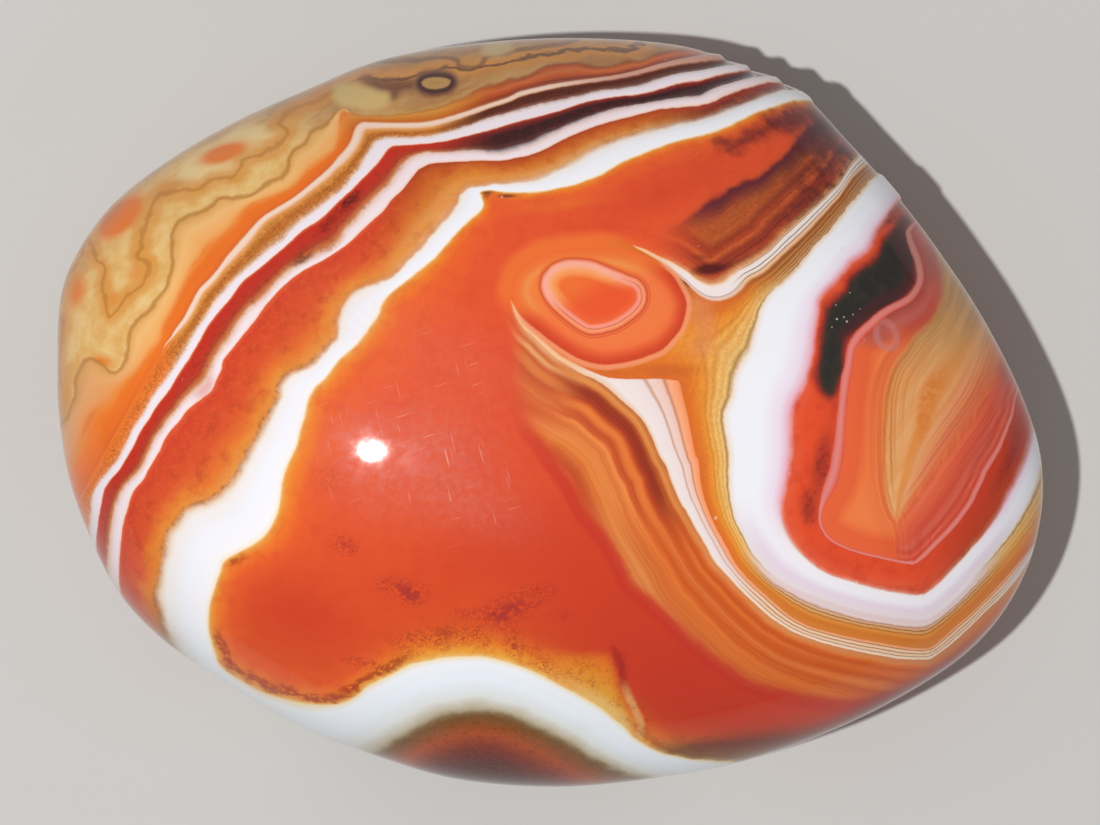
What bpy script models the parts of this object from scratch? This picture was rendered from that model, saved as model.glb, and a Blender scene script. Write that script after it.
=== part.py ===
"""A polished lace agate: one solid pebble of banded chalcedony, resting on a small ground flat.

Metres, +Z up. The origin is on the flat underside, below the middle of the stone's length and
width. +X runs along the length and +Y across it, and the banded face looks up.
"""

import math

import bmesh
import bpy
import numpy as np

MM = 0.001

# The stone seen from above, at its widest: x, y in millimetres, clockwise from the left end
OUTLINE_MM = [
    (-32.0, 2.4), (-31.8, 7.5), (-30.5, 10.8), (-28.1, 13.9), (-24.1, 16.9), (-20.2, 19.1),
    (-16.2, 20.9), (-11.0, 23.0), (-4.6, 24.1), (1.9, 24.4), (8.4, 23.9), (12.6, 22.5),
    (16.4, 20.7), (19.5, 17.5), (22.7, 13.9), (25.4, 10.3), (28.1, 6.2), (30.6, 1.3),
    (31.9, -2.9), (31.9, -6.9), (30.7, -10.9), (28.3, -14.5), (24.7, -17.4), (18.9, -20.5),
    (12.4, -22.8), (7.2, -23.8), (0.7, -24.4), (-5.9, -23.9), (-11.1, -22.4), (-16.3, -20.4),
    (-21.5, -17.3), (-25.4, -14.5), (-28.1, -11.5), (-30.0, -7.7), (-31.2, -4.3), (-31.8, -0.9),
]
OUTLINE_STEPS = 24  # points that the smooth curve takes between two of those above

GIRDLE_HEIGHT = 12.2 * MM  # mean height of the widest line over the surface it rests on
GIRDLE_SWAY = 1.1 * MM  # how far that line rises and falls on its way round
SWAY_TURN = 0.9  # radians from +X back to where it starts to rise
SWAY_POWER = 4  # how soon the sway dies away towards the middle
CROWN_HEIGHT = 14.8 * MM  # from the girdle up to the top of the banded face
CROWN_ROUNDNESS = 2.2  # 2 is an ellipse, more is a flatter top with a tighter shoulder
BASE_ROUNDNESS = 2.35
CROWN_SHIFT = (-5.0 * MM, -1.6 * MM)  # the top lies left of the middle of the outline
REST_SHARE = 0.32  # the flat rest's reach as a share of the outline's
REST_CELLS_SHARE = 0.22  # the share of the way from the bottom's middle to the girdle in the mesh

# Towards the middle the outline's bends even out into this ellipse
PLAIN_HALF_LENGTH = 31.0 * MM
PLAIN_HALF_WIDTH = 23.6 * MM

FACE_CUTS = 23  # cuts along each edge of the cube that the mesh grows from

# Slow swells that keep the form from being a perfect ovoid: direction, height, spread
SWELLS = [
    ((0.55, 0.35, 0.75), 0.55 * MM, 0.45),
    ((-0.65, -0.30, 0.70), 0.35 * MM, 0.40),
    ((0.10, -0.75, 0.60), -0.40 * MM, 0.35),
    ((-0.35, 0.70, -0.55), 0.70 * MM, 0.40),
    ((0.75, -0.20, -0.60), -0.50 * MM, 0.40),
]
GIRDLE_CALM = 0.35  # a swell is flattened where a direction climbs less than this
REST_CALM = 0.3  # and within this share of the way past the flat rest

STONE_COLOUR = (0.55, 0.12, 0.04, 1.0)
STONE_ROUGHNESS = 0.12


def clear_scene():
    for obj in list(bpy.data.objects):
        bpy.data.objects.remove(obj)


def smooth_outline():
    """The outline's points joined by a closed Catmull-Rom curve, in metres."""
    points = np.array(OUTLINE_MM) * MM
    before, after, beyond = (np.roll(points, shift, axis=0) for shift in (1, -1, -2))
    curve = []
    for t in np.arange(OUTLINE_STEPS) / OUTLINE_STEPS:
        curve.append(
            0.5
            * (
                2 * points
                + (after - before) * t
                + (2 * before - 5 * points + 4 * after - beyond) * t**2
                + (3 * points - before - 3 * after + beyond) * t**3
            )
        )
    return np.stack(curve, axis=1).reshape(-1, 2)


def reach_by_angle(curve):
    """A function from angles round the middle to the outline's distance from it."""
    angles = np.arctan2(curve[:, 1], curve[:, 0])
    order = np.argsort(angles)
    angles, reach = angles[order], np.hypot(*curve[order].T)

    def reach_at(angle):
        return np.interp(angle, angles, reach, period=2 * math.pi)

    return reach_at


def stone_points(directions, reach_at):
    """The point of the stone's surface for each unit direction from its middle."""
    across = np.hypot(directions[:, 0], directions[:, 1])
    angle = np.arctan2(directions[:, 1], directions[:, 0])
    upper = directions[:, 2] >= 0
    up = np.abs(directions[:, 2])

    crown_power = 2 / CROWN_ROUNDNESS
    crown_share = across**crown_power
    crown_rise = up**crown_power

    way = np.arctan2(across, up) / (math.pi / 2)
    beyond_rest = np.clip((way - REST_CELLS_SHARE) / (1 - REST_CELLS_SHARE), 0, 1) * math.pi / 2
    base_power = 2 / BASE_ROUNDNESS
    on_rest = REST_SHARE * np.minimum(way / REST_CELLS_SHARE, 1)
    base_share = on_rest + (1 - REST_SHARE) * np.sin(beyond_rest) ** base_power
    base_drop = np.clip(np.cos(beyond_rest), 0, 1) ** base_power

    share = np.where(upper, crown_share, base_share)
    reach = reach_at(angle)
    plain = PLAIN_HALF_LENGTH * PLAIN_HALF_WIDTH / np.hypot(
        PLAIN_HALF_WIDTH * np.cos(angle), PLAIN_HALF_LENGTH * np.sin(angle)
    )
    radius = share * (plain + (reach - plain) * share**2)

    shift = np.where(upper, 1 - share**2, 0)
    x = radius * np.cos(angle) + CROWN_SHIFT[0] * shift
    y = radius * np.sin(angle) + CROWN_SHIFT[1] * shift

    girdle = GIRDLE_HEIGHT + GIRDLE_SWAY * np.sin(2 * angle + SWAY_TURN) * share**SWAY_POWER
    z = np.where(upper, girdle + CROWN_HEIGHT * crown_rise, girdle * (1 - base_drop))

    points = np.column_stack([x, y, z])
    for direction, height, spread in SWELLS:
        axis = np.array(direction) / np.linalg.norm(direction)
        apart = np.arccos(np.clip(directions @ axis, -1, 1))
        swell = height * np.exp(-((apart / spread) ** 2)) * np.minimum(up / GIRDLE_CALM, 1)
        off_rest = np.where(upper, 1, np.clip((way - REST_CELLS_SHARE) / REST_CALM, 0, 1))
        points += directions * (swell * off_rest)[:, None]
    return points


def make_stone(reach_at):
    """A cube cut into a fine grid, its corners sent out to the stone's surface."""
    mesh = bpy.data.meshes.new("lace_agate")
    form = bmesh.new()
    bmesh.ops.create_cube(form, size=2)
    bmesh.ops.subdivide_edges(form, edges=form.edges[:], cuts=FACE_CUTS, use_grid_fill=True)
    cube = np.array([vertex.co[:] for vertex in form.verts])
    evened = np.tan(cube * math.pi / 4)  # so that the cells come out alike in size
    directions = evened / np.linalg.norm(evened, axis=1)[:, None]
    for vertex, point in zip(form.verts, stone_points(directions, reach_at)):
        vertex.co = point
    bmesh.ops.triangulate(form, faces=form.faces[:])
    bmesh.ops.recalc_face_normals(form, faces=form.faces[:])
    form.to_mesh(mesh)
    form.free()
    mesh.shade_smooth()
    stone = bpy.data.objects.new("lace_agate", mesh)
    bpy.context.scene.collection.objects.link(stone)
    return stone


def stone_material():
    material = bpy.data.materials.new("polished_agate")
    material.use_nodes = True
    surface = material.node_tree.nodes["Principled BSDF"]
    surface.inputs["Base Color"].default_value = STONE_COLOUR
    surface.inputs["Roughness"].default_value = STONE_ROUGHNESS
    surface.inputs["Metallic"].default_value = 0.0
    return material


def main():
    clear_scene()
    stone = make_stone(reach_by_angle(smooth_outline()))
    stone.data.materials.append(stone_material())
    size = [1000 * side for side in stone.dimensions]
    print("stone", " x ".join(f"{side:.1f}" for side in size), "mm")
    print(len(stone.data.polygons), "triangles")


main()
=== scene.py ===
# %% [markdown]
# # A polished lace agate
# The stone is one pebble of banded chalcedony, ground and polished all round. Its shape is plain:
# everything that catches the eye is in the layers that the polished skin cuts through. So this
# script spends few lines on the form and most of them on where each layer runs, what colour it
# has, and how sharp or how foggy its two edges are.
#
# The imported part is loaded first. It is the frame that fixes the size, and it is left as it is.

import math
from functools import partial

import bpy
import numpy as np
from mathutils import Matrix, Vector


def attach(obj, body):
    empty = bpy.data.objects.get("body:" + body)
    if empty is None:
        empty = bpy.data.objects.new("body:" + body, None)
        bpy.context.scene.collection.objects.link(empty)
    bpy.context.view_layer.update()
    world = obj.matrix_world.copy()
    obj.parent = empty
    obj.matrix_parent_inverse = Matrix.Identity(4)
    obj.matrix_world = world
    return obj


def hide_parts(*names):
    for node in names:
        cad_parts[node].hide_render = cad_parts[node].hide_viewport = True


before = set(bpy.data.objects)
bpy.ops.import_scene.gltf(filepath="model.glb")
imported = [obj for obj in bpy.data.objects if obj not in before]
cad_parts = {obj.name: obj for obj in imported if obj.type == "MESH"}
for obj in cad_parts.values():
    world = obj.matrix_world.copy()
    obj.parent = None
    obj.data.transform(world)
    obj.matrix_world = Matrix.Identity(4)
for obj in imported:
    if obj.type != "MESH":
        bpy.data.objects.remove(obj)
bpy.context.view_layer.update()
MM = 0.001

# %% [markdown]
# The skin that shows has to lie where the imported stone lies, so it comes from the same outline
# and the same heights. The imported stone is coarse, and this skin has about fourteen times as
# many faces, because the layers are going to be drawn from one corner of the mesh to the next.
# The outline is the stone seen from above. A Catmull-Rom curve goes smoothly through its points.

# %% Outline of the stone from above
OUTLINE_MM = [
    (-32.0, 2.4), (-31.8, 7.5), (-30.5, 10.8), (-28.1, 13.9), (-24.1, 16.9), (-20.2, 19.1),
    (-16.2, 20.9), (-11.0, 23.0), (-4.6, 24.1), (1.9, 24.4), (8.4, 23.9), (12.6, 22.5),
    (16.4, 20.7), (19.5, 17.5), (22.7, 13.9), (25.4, 10.3), (28.1, 6.2), (30.6, 1.3), (31.9, -2.9),
    (31.9, -6.9), (30.7, -10.9), (28.3, -14.5), (24.7, -17.4), (18.9, -20.5), (12.4, -22.8),
    (7.2, -23.8), (0.7, -24.4), (-5.9, -23.9), (-11.1, -22.4), (-16.3, -20.4), (-21.5, -17.3),
    (-25.4, -14.5), (-28.1, -11.5), (-30.0, -7.7), (-31.2, -4.3), (-31.8, -0.9),
]
OUTLINE_STEPS = 24


def through(points, steps):
    """A Catmull-Rom curve through the rows of points, with their further columns carried along."""
    before = np.vstack([points[:1], points[:-2]])
    here = points[:-1]
    after = points[1:]
    beyond = np.vstack([points[2:], points[-1:]])
    curve = []
    for t in np.arange(steps) / steps:
        pull = (after - before) * t
        bend = (2 * before - 5 * here + 4 * after - beyond) * t**2
        twist = (3 * here - before - 3 * after + beyond) * t**3
        curve.append(0.5 * (2 * here + pull + bend + twist))
    return np.stack(curve, axis=1).reshape(-1, points.shape[1])


ring = np.array(OUTLINE_MM) * MM
outline = through(np.vstack([ring[-1:], ring, ring[:2]]), OUTLINE_STEPS)
outline = outline[OUTLINE_STEPS:-OUTLINE_STEPS]
outline_angles = np.arctan2(outline[:, 1], outline[:, 0])
order = np.argsort(outline_angles)
outline_angles = outline_angles[order]
outline_reach = np.hypot(outline[order, 0], outline[order, 1])
print("outline of", len(outline), "points, up to", round(outline_reach.max() / MM, 1), "mm away")

# %% [markdown]
# Above its widest line, the girdle, the stone is a flattened dome, and below it a shallower bowl
# with a small flat to stand on. Both are superellipses: a power of 2 gives an ellipse, and a
# little more gives the fuller shoulder of a tumbled stone. A few slow swells take away the look
# of a perfect ovoid.

# %% Form of the stone
GIRDLE_HEIGHT = 12.2 * MM
GIRDLE_SWAY = 1.1 * MM
SWAY_TURN = 0.9
SWAY_POWER = 4
CROWN_HEIGHT = 14.8 * MM
CROWN_ROUNDNESS = 2.2
BASE_ROUNDNESS = 2.35
CROWN_SHIFT = (-5.0 * MM, -1.6 * MM)
REST_SHARE = 0.32
REST_CELLS_SHARE = 0.22
PLAIN_HALF_LENGTH = 31.0 * MM
PLAIN_HALF_WIDTH = 23.6 * MM
SWELLS = [
    ((0.55, 0.35, 0.75), 0.55 * MM, 0.45),
    ((-0.65, -0.30, 0.70), 0.35 * MM, 0.40),
    ((0.10, -0.75, 0.60), -0.40 * MM, 0.35),
    ((-0.35, 0.70, -0.55), 0.70 * MM, 0.40),
    ((0.75, -0.20, -0.60), -0.50 * MM, 0.40),
]
GIRDLE_CALM = 0.35  # a swell is flattened where a direction climbs less than this
REST_CALM = 0.3  # and within this share of the way past the flat rest


def stone_points(directions, upper):
    """The point of the skin for each unit direction from the stone's middle."""
    across = np.hypot(directions[:, 0], directions[:, 1])
    angle = np.arctan2(directions[:, 1], directions[:, 0])
    up = np.abs(directions[:, 2])

    crown_power = 2 / CROWN_ROUNDNESS
    crown_share = across**crown_power
    crown_rise = up**crown_power

    way = np.arctan2(across, up) / (math.pi / 2)
    beyond_rest = np.clip((way - REST_CELLS_SHARE) / (1 - REST_CELLS_SHARE), 0, 1) * math.pi / 2
    base_power = 2 / BASE_ROUNDNESS
    on_rest = REST_SHARE * np.minimum(way / REST_CELLS_SHARE, 1)
    base_share = on_rest + (1 - REST_SHARE) * np.sin(beyond_rest) ** base_power
    base_drop = np.clip(np.cos(beyond_rest), 0, 1) ** base_power

    share = np.where(upper, crown_share, base_share)
    reach = np.interp(angle, outline_angles, outline_reach, period=2 * math.pi)
    plain = PLAIN_HALF_LENGTH * PLAIN_HALF_WIDTH / np.hypot(
        PLAIN_HALF_WIDTH * np.cos(angle), PLAIN_HALF_LENGTH * np.sin(angle)
    )
    radius = share * (plain + (reach - plain) * share**2)

    shift = np.where(upper, 1 - share**2, 0)
    x = radius * np.cos(angle) + CROWN_SHIFT[0] * shift
    y = radius * np.sin(angle) + CROWN_SHIFT[1] * shift
    girdle = GIRDLE_HEIGHT + GIRDLE_SWAY * np.sin(2 * angle + SWAY_TURN) * share**SWAY_POWER
    z = np.where(upper, girdle + CROWN_HEIGHT * crown_rise, girdle * (1 - base_drop))

    points = np.column_stack([x, y, z])
    for direction, height, spread in SWELLS:
        axis = np.array(direction) / np.linalg.norm(direction)
        apart = np.arccos(np.clip(directions @ axis, -1, 1))
        swell = height * np.exp(-((apart / spread) ** 2)) * np.minimum(up / GIRDLE_CALM, 1)
        off_rest = np.where(upper, 1, np.clip((way - REST_CELLS_SHARE) / REST_CALM, 0, 1))
        points += directions * (swell * off_rest)[:, None]
    return points


# %% [markdown]
# The mesh could be a sphere of rings and spokes, but its spokes crowd together at the top, just
# where the picture side is looked at. Here two square grids are used, one for the dome and one
# for the bowl, each laid on a disc so that every square ring of cells becomes a round ring. The
# cells then come out almost alike everywhere, about 0.3 mm wide. The rings are spaced by length
# along the skin, so the steep sides get their share.

# %% Grid for the two halves
RINGS = 108  # rings of cells from the middle of a half to the girdle
SWEEP = 4000  # samples used to measure the length along the skin

steps = np.arange(-RINGS, RINGS + 1)
column, row = np.meshgrid(steps, steps)
column = column.ravel()
row = row.ravel()
ring_number = np.maximum(np.abs(column), np.abs(row))
sideways = np.abs(column) >= np.abs(row)
safe_column = np.where(column == 0, 1, column)
safe_row = np.where(row == 0, 1, row)
ring_angle = np.where(
    sideways,
    math.pi / 4 * row / safe_column + math.pi * (column < 0),
    math.pi / 2 - math.pi / 4 * column / safe_row + math.pi * (row < 0),
)


def directions_for(way, angle, sign):
    """Unit directions: way is the angle from the pole, sign is 1 for the dome, -1 for the bowl."""
    return np.column_stack(
        [np.sin(way) * np.cos(angle), np.sin(way) * np.sin(angle), sign * np.cos(way)]
    )


def even_way(sign):
    """The angle from the pole for each ring, so that the rings are evenly spaced on the skin."""
    way = np.linspace(0, math.pi / 2, SWEEP)
    profile = stone_points(directions_for(way, np.zeros(SWEEP), sign), np.full(SWEEP, sign > 0))
    lengths = np.linalg.norm(np.diff(profile, axis=0), axis=1)
    gone = np.concatenate([[0], np.cumsum(lengths)])
    return np.interp(np.linspace(0, gone[-1], RINGS + 1), gone, way)


side_cells = 2 * RINGS
on_girdle = ring_number == RINGS
dome = directions_for(even_way(1)[ring_number], ring_angle, 1)
bowl = directions_for(even_way(-1)[ring_number], ring_angle, -1)[~on_girdle]
directions = np.vstack([dome, bowl])
upper = np.concatenate([np.ones(len(dome), bool), np.zeros(len(bowl), bool)])
points = stone_points(directions, upper)
print(len(points), "corners in the skin")

# %% Faces of the two halves
corner = np.arange(len(dome)).reshape(side_cells + 1, side_cells + 1)
below = corner.ravel().copy()
below[~on_girdle] = len(dome) + np.arange(len(bowl))
below = below.reshape(corner.shape)


def cells(grid, facing_up):
    """The four corners of each cell, in turning order as seen from outside."""
    around = [grid[:-1, :-1], grid[:-1, 1:], grid[1:, 1:], grid[1:, :-1]]
    if not facing_up:
        around = around[::-1]
    return np.stack(around, axis=-1).reshape(-1, 4)


faces = np.vstack([cells(corner, True), cells(below, False)])
print(len(faces), "cells,", 2 * len(faces), "triangles")

# %% [markdown]
# The layers are drawn in the plane of the picture, in its pixels, because that is where they can
# be seen and measured. Each corner of the mesh is given its place there: the camera looks
# straight down from less than half a metre, so a point nearer to it is seen a little further from
# the middle. Below the girdle nothing was seen. A layer is a sheet that goes on down through the
# stone at a slant, so places there drift with the depth, and slow waves bend the sheets, as they
# do in the stone itself.

# %% Place of each corner among the layers
PICTURE_CENTRE = (550.0, 412.5)
PX_PER_MM = 15.36  # at the height of the girdle
CAMERA_HEIGHT = 450 * MM
SHEET_SLANT = (0.62, 0.48)  # how far a sheet moves sideways for each step down
SLANT_START = 2.0 * MM
WAVES = [
    # period in mm, direction, phase, push along x, push along y (both in mm at full depth)
    (31.0, (0.8, 0.6, 0.3), 0.4, 2.6, -1.5),
    (22.0, (-0.5, 0.9, 0.6), 2.1, -1.4, 2.2),
    (13.0, (0.9, -0.3, 1.0), 4.0, 0.9, 0.8),
    (6.1, (0.3, 1.0, -0.8), 1.2, 0.28, -0.3),
    (3.4, (-0.7, 0.5, 1.2), 5.2, 0.10, 0.12),
]

grow = PX_PER_MM / MM * (CAMERA_HEIGHT - GIRDLE_HEIGHT) / (CAMERA_HEIGHT - points[:, 2])
place_x = PICTURE_CENTRE[0] + points[:, 0] * grow
place_y = PICTURE_CENTRE[1] - points[:, 1] * grow

angle = np.arctan2(points[:, 1], points[:, 0])
girdle = GIRDLE_HEIGHT + GIRDLE_SWAY * np.sin(2 * angle + SWAY_TURN)
depth = np.where(upper, 0, np.maximum(girdle - points[:, 2], 0))
slid = depth**2 / (depth + SLANT_START)
bent = np.clip(depth / GIRDLE_HEIGHT, 0, 1)
for period, heading, phase, push_x, push_y in WAVES:
    wave = np.sin(points @ np.array(heading) * 2 * math.pi / (period * MM) + phase)
    place_x = place_x + wave * bent * push_x * PX_PER_MM
    place_y = place_y + wave * bent * push_y * PX_PER_MM
place_x = place_x + SHEET_SLANT[0] * slid * PX_PER_MM / MM
place_y = place_y + SHEET_SLANT[1] * slid * PX_PER_MM / MM
places = np.column_stack([place_x, place_y])
depth_px = depth * PX_PER_MM / MM
print("places run from", places.min(axis=0).round(), "to", places.max(axis=0).round())

# %% [markdown]
# A layer's edge could be painted on an image, but then it would be only as sharp as the image.
# Instead each edge is drawn as a smooth line, and every corner of the mesh is told how far it is
# from that line, in pixels, positive on one side and negative on the other. Such a distance
# changes evenly from corner to corner, so the material can find the exact place where it passes
# zero, and can make that edge as crisp or as foggy as the stone's.

# %% Measure distances to drawn lines
LINE_STEP = 1.5  # pixels between two samples of a drawn line
RUN_ON = 460.0  # pixels that an open line goes on straight past its two ends
BLOCK = 256  # spots that are compared with a line in one go
SPAN_STEPS = 16  # samples of a line between two of its given points

corner_places = (places - PICTURE_CENTRE).astype(np.float32)
edges = {}


def drawn(points, closed=False):
    """The smooth line through the listed points; a point given twice makes a sharp corner."""
    points = np.array(points, float)
    if closed:
        points = np.vstack([points[-1:], points, points[:2]])
    curve = through(points, SPAN_STEPS)
    if closed:
        curve = curve[SPAN_STEPS:-SPAN_STEPS]
    else:
        moved = np.repeat(np.any(points[1:] != points[:-1], axis=1), SPAN_STEPS)
        curve = np.vstack([curve[moved], points[-1:]])
        first = curve[0] - curve[SPAN_STEPS // 2]
        last = curve[-1] - curve[-1 - SPAN_STEPS // 2]
        for end in (first, last):
            end[:2] *= RUN_ON / np.hypot(end[0], end[1])
            end[2:] = 0
        curve = np.vstack([curve[:1] + first, curve, curve[-1:] + last])
    if closed:
        curve = np.vstack([curve, curve[:1]])
    gone = np.concatenate([[0], np.cumsum(np.hypot(*np.diff(curve[:, :2], axis=0).T))])
    even = np.arange(0, gone[-1], LINE_STEP)
    return np.column_stack([np.interp(even, gone, values) for values in curve.T])


def signed_distance(line, spots):
    """Distance of each spot to the line, with its sign, and the line's sample that is nearest."""
    samples = (line[:, :2] - PICTURE_CENTRE).astype(np.float32)
    # |spot - sample|^2 without |spot|^2, which is the same for all samples, as one product
    spots_and_one = np.column_stack([spots, np.ones(len(spots), np.float32)])
    times_sample = np.vstack([-2 * samples.T, (samples**2).sum(axis=1)])
    nearest = np.empty(len(spots), int)
    for start in range(0, len(spots), BLOCK):
        block = spots_and_one[start : start + BLOCK]
        nearest[start : start + BLOCK] = (block @ times_sample).argmin(axis=1)
    heading = np.gradient(samples, axis=0)
    heading /= np.linalg.norm(heading, axis=1)[:, None]
    ahead = heading[nearest]
    offset = spots - samples[nearest]
    along = np.abs((offset * ahead).sum(axis=1))
    across = ahead[:, 0] * offset[:, 1] - ahead[:, 1] * offset[:, 0]
    beyond = np.maximum(along - LINE_STEP / 2, 0)
    return np.sign(across) * np.hypot(across, beyond), nearest


def draw_edge(name, points, inside, closed=False, fades=0.0):
    """Stores the distance to one line as positive on the side where the spot called inside lies.

    A third number at each point is half a width, which gives the line an outer and an inner
    edge. With fades, the distance falls by that share of the depth under the girdle.
    """
    line = drawn(points, closed)
    distance, nearest = signed_distance(line, corner_places)
    spot = np.array([inside], np.float32) - np.array(PICTURE_CENTRE, np.float32)
    if signed_distance(line, spot)[0][0] < 0:
        distance = -distance
    distance = distance - fades * depth_px
    if line.shape[1] == 3:
        half_width = line[nearest, 2]
        edges[name + "_out"] = distance + half_width
        edges[name + "_in"] = distance - half_width
    else:
        edges[name] = distance
    print(f"{name}: {len(line)} samples, from {distance.min():.0f} to {distance.max():.0f} pixels")


# %% [markdown]
# The lace side comes first. Its thin brown lines wander, because they follow old cracks and
# bubbles in the layers. They are drawn through many close points. Each later line is named for
# what lies behind it when one goes from the left end of the stone towards its middle.

# %% Lines of the lace side
MIDDLE = (560.0, 480.0)

draw_edge("lace_line", [
    (20, 470), (60, 425), (73, 400), (75, 380), (80, 368), (88, 359), (98, 362), (112, 371),
    (122, 366), (128, 352), (127, 338), (132, 326), (140, 319), (150, 309), (157, 297), (165, 288),
    (170, 270), (172, 255), (172, 240), (171, 232), (176, 222), (185, 217), (200, 212), (212, 206),
    (220, 199), (235, 198), (250, 194), (262, 188), (270, 182), (280, 179), (287, 171), (290, 158),
    (297, 150), (307, 143), (310, 132), (325, 125), (336, 113), (346, 110), (356, 116), (372, 120),
    (392, 120), (412, 117), (434, 112), (456, 105), (476, 97), (500, 90), (520, 84), (545, 74),
    (570, 70), (600, 72), (640, 66), (690, 55), (740, 44),
], MIDDLE)
draw_edge("lace_thread", [
    (60, 330), (62, 300), (76, 262), (88, 240), (95, 262), (103, 268), (102, 284), (105, 304),
    (111, 316), (120, 306), (130, 294), (143, 281), (148, 270), (146, 262), (138, 257), (141, 245),
    (143, 228), (150, 214), (155, 200), (165, 192), (190, 191), (205, 187), (215, 180), (230, 178),
    (239, 171), (244, 161), (252, 156), (264, 151), (276, 145), (284, 138), (287, 129), (280, 122),
    (290, 112), (312, 104), (330, 92), (345, 84), (362, 80), (378, 78), (400, 77), (415, 74),
    (428, 71), (445, 69), (462, 69), (475, 68), (488, 65), (500, 64), (515, 61), (530, 56),
    (550, 53), (570, 49), (586, 47), (602, 49), (622, 50), (640, 44), (660, 34),
], MIDDLE)
draw_edge("lace_wisp", [
    (360, 62), (400, 60), (440, 58), (456, 60), (460, 66), (478, 66), (486, 58), (500, 55),
    (520, 50), (545, 46), (575, 40), (600, 30),
], MIDDLE)
draw_edge("peach_end", [
    (60, 480), (76, 452), (80, 440), (85, 422), (92, 411), (108, 402), (115, 391), (126, 380),
    (136, 370), (145, 358), (152, 348), (159, 340), (163, 325), (172, 308), (178, 295), (185, 280),
    (191, 268), (198, 258), (205, 247), (214, 240), (228, 229), (240, 213), (252, 203), (275, 195),
    (290, 187), (300, 178), (312, 165), (325, 157), (335, 150), (338, 140), (340, 125), (341, 112),
    (341, 112), (352, 113), (370, 116.5), (390, 116), (410, 113), (430, 109), (450, 103), (466, 97),
    (477, 90), (486, 86), (500, 83), (510, 79), (520, 78), (530, 74), (540, 69), (550, 65),
    (560, 63), (580, 63), (590, 65), (600, 66.5), (615, 65), (630, 60), (640, 60), (650, 56),
    (660, 52), (680, 49), (700, 47),
], MIDDLE)

draw_edge("lace_cell", [
    (178, 182), (176, 170), (182, 158), (196, 148), (215, 138), (235, 126), (250, 121), (262, 124),
    (268, 130), (276, 135), (275, 143), (266, 150), (256, 155), (248, 161), (243, 168), (237, 175),
    (226, 180), (212, 182), (200, 186), (188, 188),
], (224, 156), closed=True)

# %% [markdown]
# Next come the white bands, the stone's great show. A thin one can be drawn as one line with a
# half width at each point. A wide one gets a line for each of its edges, because the outer edge
# is foggy and wanders away from the inner edge, which is crisp.

# %% Lines of the white bands
draw_edge("cream_line", [
    (150, 372, -1), (160, 354, -0.5), (165, 345, 0.5), (172, 337, 1), (177, 330, 2),
    (185, 320, 2.5), (191, 310, 3), (196, 300, 3), (202, 290, 3), (212, 280, 3), (220, 270, 2.5),
    (228, 260, 3.5), (237, 250, 4), (246, 240, 4), (262, 221, 3), (275, 212, 3), (290, 203, 3),
    (300, 196, 3), (310, 188, 3), (326, 175, 3.5), (333, 168, 3), (341, 160, 4.5), (350, 150, 4.5),
    (356, 140, 4.8), (359, 131, 5), (362, 125.5, 4), (362, 125.5, 4), (376, 125.5, 3.4),
    (390, 125.5, 3), (410, 125.5, 3), (430, 124, 3), (450, 119, 2.8), (470, 112.5, 2.6),
    (490, 105.5, 2.4), (510, 99, 2.4), (520, 94, 2.5), (540, 89, 2.5), (560, 85, 2.2),
    (580, 82, 1.9), (600, 79.5, 1.8), (620, 76.5, 1.7), (640, 72, 1.8), (660, 66.5, 2),
    (680, 62, 2.2), (700, 59, 2.6), (716, 57, 2.8), (730, 56.5, 2.6), (750, 57, 2),
], MIDDLE)
draw_edge("first_white_out", [
    (91, 560), (90, 525), (91, 510), (92, 500), (95, 490), (101, 480), (109, 470), (118, 460),
    (123, 450), (128, 440), (132, 430), (139, 420), (146, 410), (151, 400), (157, 390), (165, 380),
    (173, 370), (179, 360), (186, 350), (191, 340), (196, 330), (203, 320), (210, 310), (216, 300),
    (225, 290), (233, 281), (243, 272), (254, 262), (268, 250), (282, 240), (290, 230), (302, 220),
    (315, 210), (328, 200), (342, 190), (350, 180), (358, 170), (364, 160), (370, 150), (377, 141),
    (377, 141), (388, 138), (410, 137.5), (430, 136), (450, 132), (470, 126), (485, 120),
    (500, 115.5), (520, 110.5), (540, 105), (560, 101), (580, 96), (600, 91), (620, 89),
    (640, 85.5), (660, 78.5), (680, 73), (700, 70), (720, 66), (740, 64), (757, 65), (780, 68),
], MIDDLE)
draw_edge("first_white_in", [
    (98, 570), (96, 545), (97, 530), (99, 515), (101, 505), (104, 490), (110, 480), (119, 470),
    (125, 460), (131, 450), (136, 440), (141, 430), (148, 420), (154, 410), (161, 400), (169, 390),
    (175, 380), (181, 370), (188, 360), (194, 350), (200, 340), (205, 330), (212, 320), (220, 310),
    (229, 300), (236, 290), (244, 280), (257, 270), (269, 260), (281, 250), (292, 240), (303, 230),
    (319, 220), (330, 210), (340, 200), (351, 190), (361, 180), (371, 170), (380, 160), (387, 150),
    (391, 145.5), (391, 145.5), (405, 145), (430, 143), (450, 140), (470, 135), (490, 130),
    (500, 127), (520, 121), (540, 116), (560, 110.5), (580, 103.5), (600, 99), (620, 96), (640, 94),
    (660, 89), (680, 83), (700, 80), (720, 74.5), (740, 71), (757, 69), (780, 74),
], MIDDLE)
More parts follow.
